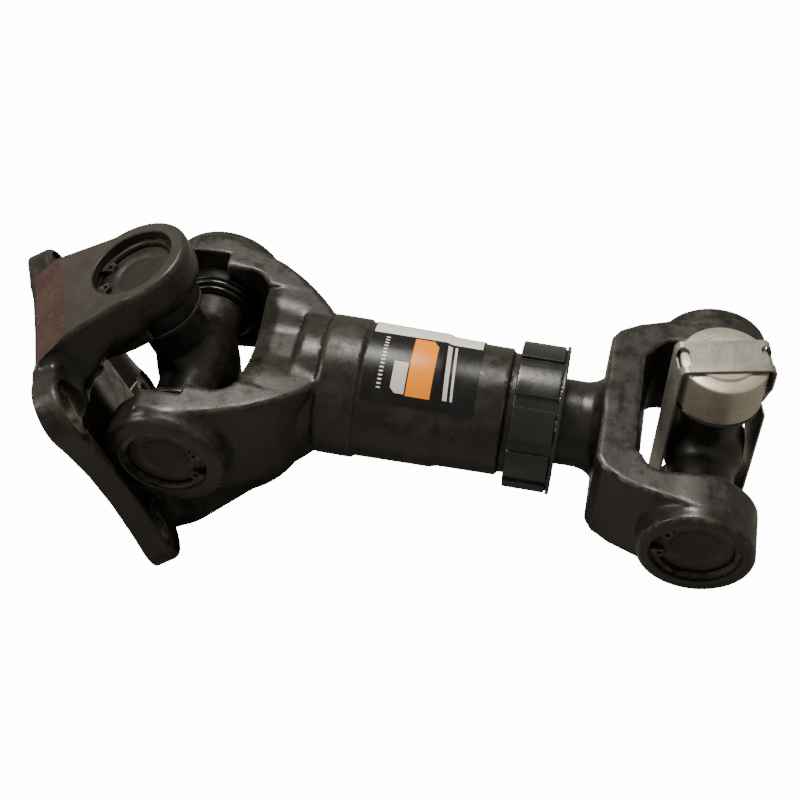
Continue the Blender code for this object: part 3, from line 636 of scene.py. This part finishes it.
def sleeve_yoke_field(x, y, z):
    around = np.hypot(y, z)
    tube = polygon(around, x, mirrored_about_axis(
        [(24.6, SLEEVE_END - 0.4), (24.6, TUBE_END + 0.4), (26.2, TUBE_END - 0.7), (26.5, 106.4),
         (27.4, 103.6), (27.8, 71.4), (28.9, 70.4), (28.9, 56.4), (28.2, 55.0), (26.6, 54.0),
         (26.4, 46.0), (25.6, 44.2), (23.6, 43.0), (18.0, 42.6)]))
    tube = tube - 0.4
    half = [(-12.0, 50.1), (6.0, 49.4), (18.0, 46.0), (29.0, 41.6), (36.0, 37.4), (42.0, 33.0),
            (47.5, 28.2), (52.0, 23.6), (57.0, 17.5)]
    plan = polygon(x, y, mirrored(half)) - 0.3
    side = polygon(x, z, mirrored([(-30.0, 25.2), (8.0, 25.2), (24.0, 24.9), (40.0, 23.4),
                                   (60.0, 21.0)]))
    arms = smooth_max(plan, side, 2.6)
    body = smooth_min(tube, arms, 1.6)
    window = polygon(x, np.abs(y), [(-80.0, -60.0), (14.5, -60.0), (14.5, 24.0), (-80.0, 24.0)]) - 10.0
    body = smooth_max(body, -window, 1.8)
    # The web dips between the arms, and meets the block under the tube in a narrow groove
    dip = 19.4 + 5.6 * smooth_step((np.abs(y) - 6.0) / 17.0)
    dip = dip - 2.0 * smooth_step((32.5 - x) / 8.0)
    throat = np.maximum.reduce([dip - np.abs(z), 4.0 - x, x - 42.4, np.abs(y) - 27.0]) * 0.8
    body = smooth_max(body, -throat, 1.8)
    recess = thick(np.minimum(np.hypot(x, z) - EYE_RECESS_RADIUS, x - 4.5), np.abs(y), 0.0,
                   EYE_RECESS_FACE, 0.8)
    eyes = yoke_eye(x, y, z, SLEEVE_EYE_RADIUS, 33.9, SLEEVE_EYE_FACE, 3.4)
    return smooth_max(smooth_min(body, eyes, 4.0), -recess, 1.0)


def mirrored_about_axis(profile):
    """The full section of a turned solid, from its outer side."""
    return profile + [(-radius, t) for radius, t in reversed(profile)]


def stub_yoke_field(x, y, z):
    around = np.hypot(y, z)
    start = SPLINE_START - JOINT_SPACING
    neck_start = NECK_START - JOINT_SPACING
    neck = polygon(around, x, mirrored_about_axis(
        [(20.4, -38.0), (20.4, -43.0), (19.6, -45.2), (18.3, -47.6), (NECK_RADIUS - 0.3, -51.0),
         (NECK_RADIUS - 0.3, neck_start + 2.2), (NECK_RADIUS - 1.3, neck_start + 1.2),
         (14.7, neck_start + 1.2),
         (14.7, start + 2.0), (12.7, start)])) - 0.3
    half = [(-43.4, 32.4), (-40.6, 37.2), (-32.6, 42.3), (-19.8, 46.6), (-4.8, 49.3), (8.0, 49.8)]
    plan = polygon(x, y, mirrored(half)) - 0.4
    side = polygon(x, z, mirrored([(-60.0, 21.1), (-30.0, 21.2), (-8.0, 22.6), (30.0, 22.8)]))
    arms = smooth_max(plan, side, 1.8)
    body = smooth_min(neck, arms, 2.4)
    window = polygon(x, np.abs(y), [(80.0, -60.0), (-17.0, -60.0), (-17.0, 25.5), (80.0, 25.5)]) - 9.0
    body = smooth_max(body, -window, 1.8)
    slope = polygon(x, np.abs(z), [(-25.6, 8.0), (-29.6, 23.0), (-29.6, 60.0), (40.0, 60.0),
                                   (40.0, 8.0)])
    throat = thick(slope, y, -27.0, 27.0, 3.0)
    body = smooth_max(body, -throat, 1.6)
    eyes = yoke_eye(x, y, z, STUB_EYE_RADIUS, 34.4, STUB_EYE_FACE, 1.9)
    return smooth_min(body, eyes, 3.0)


def flange_yoke_field(x, y, z):
    corner = arc(BOLT_Y, BOLT_Z, 12.0, 0, 90, 6)
    quarter = [(50.0, 0.0), (50.0, 9.0), (52.4, 22.0)] + corner
    quarter += [(30.0, 49.6), (22.0, 47.0), (0.0, 46.4)]
    plate = thick(polygon(np.abs(y), np.abs(z), quarter + [(-60.0, 46.4), (-60.0, 0.0)]) - 1.4,
                  x, MOUNT_FACE - 2.0, PLATE_FACE, 2.2)
    lugs = thick(np.hypot(np.abs(y) - BOLT_Y, np.abs(z) - BOLT_Z) - 13.4, x, MOUNT_FACE - 2.0,
                 PLATE_FACE, 2.2)
    plate = smooth_min(plate, lugs, 2.0)
    pad = thick(polygon(y, z, [(-26.0, -30.0), (26.0, -30.0), (26.0, 30.0), (-26.0, 30.0)]) - 8.0,
                x, MOUNT_FACE - 2.0, -37.6, 3.0)
    plate = smooth_min(plate, pad, 6.0)
    eye = arc(0, 0, 24.0, 104, -104, 26)
    outline = eye + [(-30.8, -27.6), (-46.0, -28.8), (-46.0, 28.8), (-30.8, 27.6)]
    ears = thick(polygon(x, y, outline), np.abs(z), 34.0, FLANGE_EYE_FACE + 0.4, 3.0)
    root = thick(polygon(x, np.abs(z), [(-46.0, 28.0), (-37.0, 28.0), (-27.0, 36.0), (-24.0, 46.0),
                                        (-46.0, 46.0)]), y, -25.0, 25.0, 4.0)
    height = np.abs(z)
    around = np.hypot(x, y)
    beyond = polygon(around, height, [(24.3, 51.5), (23.8, 47.5), (22.6, 44.0), (19.8, EYE_RECESS_FACE),
                                      (19.8, 20.0), (60.0, 20.0), (60.0, 51.5)])
    tapered = beyond + 0.5 * np.clip(-2.0 - x, 0.0, 40.0)
    ears = smooth_max(ears, -tapered, 1.6)
    ears = smooth_min(ears, root, 5.0)
    body = smooth_min(plate, ears, 5.5)
    body = smooth_max(body, -thick(around - EYE_RECESS_RADIUS, height, 0.0, EYE_RECESS_FACE), 0.8)
    return smooth_max(body, -swing_clearance(x, y, z), 2.0)


def swing_clearance(x, y, z):
    """What a sleeve yoke eye sweeps when the flange yoke swings to its limit."""
    eye, face, near_side, limit = 25.0, 54.6, 25.6, 27.3
    reach = math.hypot(eye, face) + 1.0
    tip = math.degrees(math.atan2(eye, face))
    outline = arc(0, 0, reach, 90, 90 + limit + tip, 12)
    near = math.radians(90 + limit + math.degrees(math.atan2(near_side, 20.0)))
    distance = math.hypot(near_side, 20.0)
    outline += [(distance * math.cos(near), distance * math.sin(near)), (0.0, 20.0)]
    return thick(polygon(x, np.abs(y), outline), z, -28.0, 28.0, 1.5)


def eye_bore(name, face, turn, chamfer=0.7):
    """A cup's bore with its snap ring groove and a broken outer edge."""
    top = RING_START + RING_THICKNESS + 0.3
    profile = [(0.0, face + 5.0), (BORE_RADIUS + chamfer + 5.0, face + 5.0), (BORE_RADIUS + chamfer, face),
               (BORE_RADIUS, face - chamfer), (BORE_RADIUS, top), (GROOVE_RADIUS, top),
               (GROOVE_RADIUS, CROSS_HALF), (BORE_RADIUS, CROSS_HALF), (BORE_RADIUS, 28.0), (0.0, 28.0)]
    return moved(painted(turned_mesh(name, profile), BORE), turn)


def toothed_outline(teeth, outer, inner, outer_half, inner_half):
    points = []
    for tooth in range(teeth):
        middle = 360 * tooth / teeth
        for radius, offset in ((inner, -inner_half), (outer, -outer_half),
                               (outer, outer_half), (inner, inner_half)):
            angle = math.radians(middle + offset)
            points.append((radius * math.cos(angle), radius * math.sin(angle)))
    return points


def build_sleeve_yoke():
    mesh = field_mesh("sleeve_yoke", sleeve_yoke_field, (-30, -60, -34), (151, 60, 34))
    painted(mesh, CAST)
    bores = merged("bores", *(eye_bore("bore_" + side, SLEEVE_EYE_FACE, turn) for side, turn in Y_PINS))
    socket = [(0.0, 180.0), (18.35, 180.0), (18.35, 116.5), (15.65, 116.5), (15.65, 50.0),
              (18.4, 50.0), (18.4, 44.0), (15.4, 44.0), (15.4, 34.0), (16.5, 34.0), (16.5, 26.0),
              (18.0, 24.5), (18.0, 10.0), (0.0, 10.0)]
    socket = moved(painted(turned_mesh("socket", socket), BORE), TURN_X)
    splines = toothed_outline(SPLINE_TEETH, 17.9, 15.5, 5.2, 7.4)
    splines = moved(painted(plate_mesh("splines", splines, 46.0, 117.5), BORE), TURN_X)
    mesh = carved(mesh, bores, socket, splines)
    piece("sleeve_yoke_forging", mesh, SHAFT, "sleeve_yoke", ["sleeve_yoke"])
    profile = [(0.0, 32.5), (8.0, 32.8), (12.0, 33.1), (13.4, 33.9), (16.2, 33.9), (16.2, 31.2),
               (13.0, 30.5), (0.0, 30.0)]
    piece("bore_plug", turned_mesh("bore_plug", profile), SHAFT @ TURN_X, "sleeve_yoke",
          ["sleeve_plug"], CROSS_SKIN)


def build_stub_yoke():
    mesh = field_mesh("stub_yoke", stub_yoke_field, (-160, -60, -29), (29, 60, 29))
    painted(mesh, CAST_STUB)
    bores = merged("bores", *(eye_bore("bore_" + side, STUB_EYE_FACE, turn) for side, turn in Y_PINS))
    mesh = carved(mesh, bores)
    teeth = toothed_outline(SPLINE_TEETH, 17.6, 15.4, 4.2, 6.2)
    teeth = moved(painted(plate_mesh("teeth", teeth, SPLINE_START + 1.0 - JOINT_SPACING,
                                     SPLINE_STOP - JOINT_SPACING), MILLED), TURN_X)
    mesh = carved(mesh, teeth, operation="UNION")
    piece("stub_yoke_forging", mesh, STUB, "stub_yoke", ["stub_yoke"])


def build_flange_yoke():
    mesh = field_mesh("flange_yoke", flange_yoke_field, (-55, -62, -63), (27, 62, 63))
    painted(mesh, CAST)
    back = plate_mesh("back", [(-80.0, -80.0), (MOUNT_FACE, -80.0), (MOUNT_FACE, 80.0), (-80.0, 80.0)],
                      -80.0, 80.0)
    mesh = carved(mesh, painted(back, MILLED))
    tops = []
    facets = []
    for side, turn in Z_PINS:
        edge = FACET_X - 8.0
        top = plate_mesh("top", [(edge, -40.0), (60.0, -40.0), (60.0, 40.0), (edge, 40.0)],
                         FLANGE_EYE_FACE, 80.0)
        tops.append(moved(painted(top, EAR_FACE), turn))
        run = (MOUNT_FACE - FACET_X, FACET_Z - FLANGE_EYE_FACE)
        beyond = 2.5
        low = (FACET_X + run[0] * beyond, FLANGE_EYE_FACE + run[1] * beyond)
        high = (FACET_X - run[0], FLANGE_EYE_FACE - run[1])
        wedge = plate_mesh("wedge", [low, high, (high[0], 90.0), (low[0], 90.0)], -50.0, 50.0)
        wedge = moved(painted(wedge, FACET), FRONT_Y)
        facets.append(moved(wedge, turn))
    mesh = carved(mesh, merged("tops", *tops))
    mesh = carved(mesh, merged("facets", *facets))
    cutters = [eye_bore("bore_" + side, FLANGE_EYE_FACE, turn, 0.5) for side, turn in Z_PINS]
    for y, z in ((1, 1), (-1, 1), (-1, -1), (1, -1)):
        hole = [(0.0, -28.0), (SPOTFACE_RADIUS, -28.0), (SPOTFACE_RADIUS, SPOTFACE_X + 0.2),
                (SPOTFACE_RADIUS - 0.4, SPOTFACE_X), (BOLT_HOLE_RADIUS + 0.6, SPOTFACE_X),
                (BOLT_HOLE_RADIUS, SPOTFACE_X - 0.6), (BOLT_HOLE_RADIUS, -70.0), (0.0, -70.0)]
        hole = painted(turned_mesh("bolt_hole", hole, 64), CAST)
        cutters.append(moved(hole, shifted(0, y * BOLT_Y, z * BOLT_Z) @ TURN_X))
    mesh = carved(mesh, merged("holes", *cutters))
    piece("flange_yoke_forging", mesh, FLANGE, "flange_yoke", ["flange_yoke"])


# ---------------------------------------------------------------- cross kits
def cross_field(x, y, z):
    ball = np.sqrt(x * x + y * y + z * z) - BODY_RADIUS
    ball = smooth_max(ball, np.abs(x) - 15.4, 2.0)
    along_z = disc(x, y, z, ARM_RADIUS, -ARM_END, ARM_END, 1.2)
    along_y = disc(x, z, y, ARM_RADIUS, -ARM_END, ARM_END, 1.2)
    arms = smooth_min(along_z, along_y, 6.0)
    body = smooth_min(ball, arms, 4.0)
    pins = np.minimum(disc(x, y, z, TRUNNION_RADIUS, -TRUNNION_END, TRUNNION_END, 0.6),
                      disc(x, z, y, TRUNNION_RADIUS, -TRUNNION_END, TRUNNION_END, 0.6))
    return np.minimum(body, pins)


def build_cross(name, place):
    step = FIELD_STEP * 0.8
    mesh = field_mesh(name, cross_field, (-18, -51, -51), (18, 51, 51), step)
    piece(name + "_forging", mesh, place, name, [name], CROSS_SKIN)


def cup_profile(raised):
    """A bearing cup with a rounded rim. The end has a raised disc, or a shallow dished one."""
    top = CROSS_HALF
    bottom = top - CUP_LENGTH
    if raised:
        face = [(0.0, top), (11.0, top), (11.5, top - 0.35), (12.0, top - 0.75), (16.2, top - 0.8),
                (17.1, top - 1.2)]
    else:
        face = [(0.0, top - 0.9), (8.6, top - 0.9), (9.4, top - 0.75), (10.4, top - 0.15),
                (11.4, top), (14.6, top), (15.0, top - 0.35), (15.6, top - 0.4), (16.6, top - 0.5),
                (17.2, top - 0.9)]
    side = [(CUP_RADIUS, top - 1.7), (CUP_RADIUS, bottom + 0.5), (CUP_RADIUS - 0.4, bottom),
            (CUP_BORE + 0.3, bottom), (CUP_BORE, bottom + 0.4), (CUP_BORE, top - CUP_FLOOR),
            (0.0, top - CUP_FLOOR)]
    return face + side


def seal_profile():
    """A rubber lip with a rounded rim against the cup's mouth, and a narrower collar under it."""
    bore = TRUNNION_RADIUS + 0.3
    mouth = CROSS_HALF - CUP_LENGTH - 0.3
    shoulder = ARM_END + 0.3
    rim = arc(16.2, mouth - 1.3, 1.25, 80, -90, 8)
    collar = arc(14.9, shoulder + 0.95, 0.9, 60, -90, 6)
    return [(15.0, mouth)] + rim + collar + [(bore, shoulder), (bore, mouth)]


def snap_ring_mesh():
    gap, lug = 17.0, 33.0
    outline = arc(0, 0, RING_RADIUS, gap, 360 - gap, 72)
    outline += arc(0, 0, 12.4, 360 - gap, 360 - lug, 6)
    outline += arc(0, 0, 15.4, 360 - lug - 4, lug + 4, 56)
    outline += arc(0, 0, 12.4, lug, gap, 6)
    holes = []
    for side in (1, -1):
        angle = math.radians(side * 25.0)
        holes.append(arc(14.2 * math.cos(angle), 14.2 * math.sin(angle), 1.0, 0, 345, 23))
    return plate_mesh("snap_ring", outline, RING_START, RING_START + RING_THICKNESS, holes)


def build_bearings(prefix, place, body, turns, cup_material, seal_material, ring_spins=(0, 0)):
    rings = ring_spins is not None
    for (side, turn), spin in zip(turns, ring_spins or (0, 0)):
        where = place @ turn
        piece(f"{prefix}_bearing_cup_{side}", turned_mesh("cup", cup_profile(not rings)), where, body,
              [f"{prefix}_cup_{side}"], cup_material, 30)
        piece(f"{prefix}_lip_seal_{side}", turned_mesh("seal", seal_profile()), where, body,
              [f"{prefix}_seal_{side}"], seal_material, 30)
        if rings:
            axis = "Y" if turns is Y_PINS else "Z"
            where = place @ Matrix.Rotation(math.radians(spin), 4, axis) @ turn
            piece(f"{prefix}_circlip_{side}", snap_ring_mesh(), where, body,
                  [f"{prefix}_snap_ring_{side}"], SPRING, 30)


# ---------------------------------------------------------------- dust cap, seal, label
def dust_cap_field(x, y, z):
    around = np.hypot(y, z)
    angle = np.degrees(np.arctan2(z, -y)) - CAP_LAND_ANGLE
    within = np.abs((angle / CAP_LAND_STEP + 0.5) % 1.0 - 0.5) * math.radians(CAP_LAND_STEP) * 30.0
    lands = disc(y, z, x, 30.6, 134.4, 152.0, 0.4)
    lands = smooth_max(lands, within - 7.0, 0.5)
    drum = disc(y, z, x, 29.3, 134.2, 153.0, 0.6)
    lip = disc(y, z, x, 31.1, 152.6, 154.0, 0.4)
    body = smooth_min(np.minimum(drum, lip), lands, 0.3)
    hollow = polygon(around, x, mirrored_about_axis([(18.55, 170.0), (18.55, 152.0), (25.3, 152.0),
                                                     (25.3, 120.0)]))
    return np.maximum(body, -hollow)


def build_dust_cap():
    mesh = field_mesh("dust_cap", dust_cap_field, (132, -33, -33), (156, 33, 33), FIELD_STEP * 0.5)
    piece("ribbed_dust_cap", mesh, SHAFT, "sleeve_yoke", ["dust_cap"], PLASTIC)
    profile = [(24.4, 151.5), (24.6, 151.2), (24.6, 147.5), (19.4, 147.5), (18.15, 148.4),
               (18.15, 149.0), (19.0, 149.9), (19.0, 151.5)]
    piece("dust_cap_lip_seal", turned_mesh("dust_seal", profile), SHAFT @ TURN_X, "sleeve_yoke",
          ["dust_cap_seal"], RUBBER)


def label_material():
    """A printed black film: a pale band, plain blocks and dashes, and no lettering."""
    n = Nodes("label_print")
    grid = n.tree.nodes.new("ShaderNodeUVMap")
    grid.uv_map = "film"
    split = n.tree.nodes.new("ShaderNodeSeparateXYZ")
    n.link(grid.outputs["UV"], split.inputs[0])
    along, around = split.outputs["X"], split.outputs["Y"]

    def within(value, low, high):
        above = n.calc("GREATER_THAN", value, low)
        below = n.calc("LESS_THAN", value, high)
        return n.calc("MULTIPLY", above, below)

    def block(low_x, high_x, low_a, high_a):
        return n.calc("MULTIPLY", within(along, low_x, high_x), within(around, low_a, high_a))

    cloud = n.noise(160, 4, 0.6)
    black = n.mix(n.range(cloud, 0.4, 0.7), (0.004, 0.004, 0.004), (0.008, 0.008, 0.0078))
    corner = n.calc("LESS_THAN", n.calc("ADD", n.calc("MULTIPLY", around, 0.35), along), 135.4)
    orange = n.calc("MULTIPLY", block(91.0, 101.0, 49.0, 105.0), corner)
    colour = n.mix(orange, black, (0.95, 0.27, 0.0))
    tag = block(84.6, 90.4, 50.0, 77.0)
    cut_low = n.calc("GREATER_THAN", n.calc("ADD", n.calc("MULTIPLY", around, 0.5), along), 111.6)
    colour = n.mix(n.calc("MULTIPLY", tag, cut_low), colour, (0.60, 0.58, 0.52))
    # A row of plain dashes along one edge, and an abstract mark of two bars
    dash = n.calc("LESS_THAN", n.calc("FRACT", n.calc("MULTIPLY", around, 0.29)), 0.42)
    colour = n.mix(n.calc("MULTIPLY", dash, block(79.0, 80.7, 52.0, 103.0)), colour, (0.62, 0.60, 0.55))
    slant = n.calc("ADD", along, n.calc("MULTIPLY", around, 0.03))
    mark = n.calc("MULTIPLY", within(around, 50.0, 104.0), n.calc("ADD", within(slant, 107.6, 109.4),
                                                                  within(slant, 110.6, 111.6)))
    colour = n.mix(mark, colour, (0.62, 0.60, 0.56))
    slope = n.calc("SUBTRACT", around, n.calc("MULTIPLY", along, 0.05))
    band = n.calc("MULTIPLY", within(along, 73.6, 118.4), within(slope, 102.5, 200.0))
    colour = n.mix(band, colour, (0.78, 0.76, 0.70))
    n.bumps((cloud, 0.00008))
    return n.set(colour=colour, roughness=n.range(cloud, 0.3, 0.7, 0.26, 0.38), specular=0.3)


def build_label():
    lift, skin = 0.35, 0.3
    line = [(73.0, 28.1), (90.0, 27.9), (103.6, 27.75), (104.4, 27.5), (105.6, 27.0), (106.4, 26.85),
            (119.0, 26.6)]
    steps = 72
    points = []
    rings = []
    for step in range(steps + 1):
        angle = math.radians(LABEL_FROM + LABEL_SWEEP * step / steps)
        ring = []
        for height in (lift, lift + skin):
            for x, radius in (line if height == lift else reversed(line)):
                ring.append(len(points))
                reach = radius + height
                points.append((x, -reach * math.cos(angle), reach * math.sin(angle)))
        rings.append(ring)
    faces = []
    count = len(rings[0])
    for a, b in zip(rings, rings[1:]):
        for i in range(count):
            j = (i + 1) % count
            faces.append([a[i], a[j], b[j], b[i]])
    for ring in (rings[0][::-1], rings[-1]):
        for i in range(len(line) - 1):
            faces.append([ring[i], ring[i + 1], ring[count - 2 - i], ring[count - 1 - i]])
    mesh = mesh_of(points, faces, "label")
    tidy = bmesh.new()
    tidy.from_mesh(mesh)
    bmesh.ops.recalc_face_normals(tidy, faces=tidy.faces)
    tidy.to_mesh(mesh)
    tidy.free()
    layer = mesh.uv_layers.new(name="film")
    for loop in mesh.loops:
        co = mesh.vertices[loop.vertex_index].co
        layer.data[loop.index].uv = (co.x / MM, math.degrees(math.atan2(co.z, -co.y)))
    piece("printed_label", mesh, SHAFT, "sleeve_yoke", ["tube_label"], label_material())


# ---------------------------------------------------------------- strap
def strap_material():
    n = Nodes("strap_strip")
    rolled = n.noise(3.0, 5, 0.65, n.stretched(700, 40, 40))
    cloud = n.noise(80, 4, 0.6, distort=0.4)
    colour = n.mix(n.range(cloud, 0.35, 0.68), (0.27, 0.255, 0.22), (0.37, 0.35, 0.30))
    rust = n.range(n.noise(170, 6, 0.75, distort=1.0), 0.58, 0.68)
    rust = n.calc("MULTIPLY", rust, n.range(cloud, 0.50, 0.62))
    colour = n.mix(n.calc("MULTIPLY", rust, 0.7), colour, (0.32, 0.13, 0.04))
    n.bumps((rolled, 0.00004), (cloud, 0.00020))
    return n.set(colour=colour, roughness=n.range(rolled, 0.3, 0.7, 0.30, 0.45),
                 metallic=n.range(rust, 0.0, 1.0, 0.8, 0.1))


def offset_path(points, distance):
    moved_points = []
    for i, point in enumerate(points):
        here = Vector(point)
        normals = []
        if i > 0:
            run = here - Vector(points[i - 1])
            normals.append(Vector((run.y, -run.x)).normalized())
        if i < len(points) - 1:
            run = Vector(points[i + 1]) - here
            normals.append(Vector((run.y, -run.x)).normalized())
        mean = sum(normals, Vector((0.0, 0.0))).normalized()
        moved_points.append(tuple(here + mean * (distance / mean.dot(normals[0]))))
    return moved_points


def build_strap():
    inside, top, skin, bend, lap = 18.0, STRAP_TOP, 0.8, 2.2, 1.4
    corner = 6
    path = [(inside + lap + 1.0, 21.5), (inside + lap, 30.0), (inside + 0.5, 36.0), (inside, 41.0)]
    path += arc(inside - bend, top - bend, bend, 0, 90, corner)
    path += arc(-inside + bend, top - bend, bend, 90, 180, corner)
    path += arc(-inside + bend, -top + bend, bend, 180, 270, corner)
    path += arc(inside - bend, -top + bend, bend, 270, 360, corner)
    path += [(inside, 27.0)]
    outline = path + offset_path(path, skin)[::-1]
    mesh = moved(plate_mesh("strap", outline, -STRAP_HALF_WIDTH, STRAP_HALF_WIDTH), FRONT_Y)
    metal = strap_material()
    painted(mesh, metal)
    slots = []
    for x in (-inside + 1.5, inside - 1.5):
        for z in (top, -top):
            slot = arc(0, 2.5, 2.5, 0, 180, 10) + arc(0, -2.5, 2.5, 180, 360, 10)
            slot = painted(plate_mesh("slot", slot, -3.0, 3.0), metal)
            slots.append(moved(slot, shifted(x, 0, z)))
    tips = []
    for points, low in (([(-9.0, 44.5), (-9.0, 28.5), (0.06, 28.5)], inside - 0.5),
                        ([(-9.0, 29.0), (-9.0, 18.0), (6.0, 18.0), (-0.22, 29.0)], inside + 1.1)):
        tip = plate_mesh("tip", points, low, inside + 6.0)
        tips.append(moved(painted(tip, metal), Matrix.Rotation(math.radians(90), 4, "Z") @ FRONT_Y))
    mesh = carved(mesh, merged("slots", *slots), *tips)
    piece("strap_strip", mesh, STRAP, "loose_cups_and_strap", ["transport_strap"],
          metal, 25)


# ---------------------------------------------------------------- studio
def build_camera():
    """The viewpoint, given in the shaft's frame: its place, and the picture's three directions."""
    place = Vector((0.14751, -0.43327, 0.50682))
    right = Vector((0.98256, 0.18211, 0.03750))
    down = Vector((0.16242, -0.74254, -0.64981))
    ahead = Vector((-0.09049, 0.64457, -0.75917))
    camera = bpy.data.cameras.new("camera")
    camera.sensor_width = 36.0
    camera.lens = 72.0
    camera.clip_start = 0.02
    held = bpy.data.objects.new("camera", camera)
    bpy.context.scene.collection.objects.link(held)
    turn = Matrix((right, -down, -ahead)).transposed().to_4x4()
    held.matrix_world = SHAFT @ Matrix.Translation(place) @ turn
    bpy.context.scene.camera = held


def area_light(name, place, aim, size, power, colour=(1.0, 1.0, 1.0)):
    lamp = bpy.data.lights.new(name, "AREA")
    lamp.shape = "RECTANGLE"
    lamp.size, lamp.size_y = size
    lamp.energy = power
    lamp.color = colour
    held = bpy.data.objects.new(name, lamp)
    bpy.context.scene.collection.objects.link(held)
    held.location = place
    direction = Vector(aim) - Vector(place)
    held.rotation_euler = direction.to_track_quat("-Z", "Y").to_euler()


def build_studio():
    mesh = bpy.data.meshes.new("floor")
    size = 3.0
    mesh.from_pydata([(-size, -size, 0), (size, -size, 0), (size, size, 0), (-size, size, 0)], [],
                     [(0, 1, 2, 3)])
    floor = bpy.data.objects.new("floor", mesh)
    bpy.context.scene.collection.objects.link(floor)
    floor.location.z = -0.0005
    n = Nodes("pale_floor")
    soft = n.noise(6, 3)
    painted(mesh, n.set(colour=n.mix(soft, (0.27, 0.26, 0.23), (0.29, 0.28, 0.25)), roughness=0.9))
    # The picture sees a white ground. The object gets only the light that a grey ground sends back
    rays = n.tree.nodes.new("ShaderNodeLightPath")
    glow = n.calc("MULTIPLY", rays.outputs["Is Camera Ray"], FLOOR_GLOW)
    n.put((1.0, 1.0, 1.0), n.shader.inputs["Emission Color"])
    n.link(glow, n.shader.inputs["Emission Strength"])
    world = bpy.data.worlds.new("studio")
    bpy.context.scene.world = world
    world.use_nodes = True
    background = world.node_tree.nodes["Background"]
    background.inputs["Color"].default_value = (1.0, 0.96, 0.88, 1.0)
    background.inputs["Strength"].default_value = 0.46
    area_light("top_softbox", (-0.10, 0.22, 1.0), (0.0, 0.0, 0.05), (0.40, 0.30), 11.0, (1.0, 0.96, 0.88))
    area_light("left_softbox", (-0.9, -0.3, 0.7), (-0.05, 0.0, 0.05), (0.35, 0.5), 5.0, (1.0, 0.96, 0.88))


# ---------------------------------------------------------------- everything
build_camera()
build_studio()
build_sleeve_yoke()
build_stub_yoke()
build_flange_yoke()
build_cross("front_cross", FRONT_CROSS)
build_cross("end_cross", END_CROSS)
build_bearings("sleeve", SHAFT, "sleeve_yoke", Y_PINS, CUP_FACE, RUBBER)
build_bearings("flange", FLANGE, "flange_yoke", Z_PINS, CUP_FACE, RUBBER, (165, 0))
build_bearings("stub", STUB, "stub_yoke", Y_PINS, CUP_FACE, RUBBER, (187, 0))
build_bearings("loose", STRAP, "loose_cups_and_strap", Z_PINS, LOOSE_CUP, RUBBER, None)
build_dust_cap()
build_label()
build_strap()
for node_name, node in frame["nodes"].items():
    if "needles" in node_name:
        node.data.materials.clear()
        node.data.materials.append(NEEDLE_STEEL)
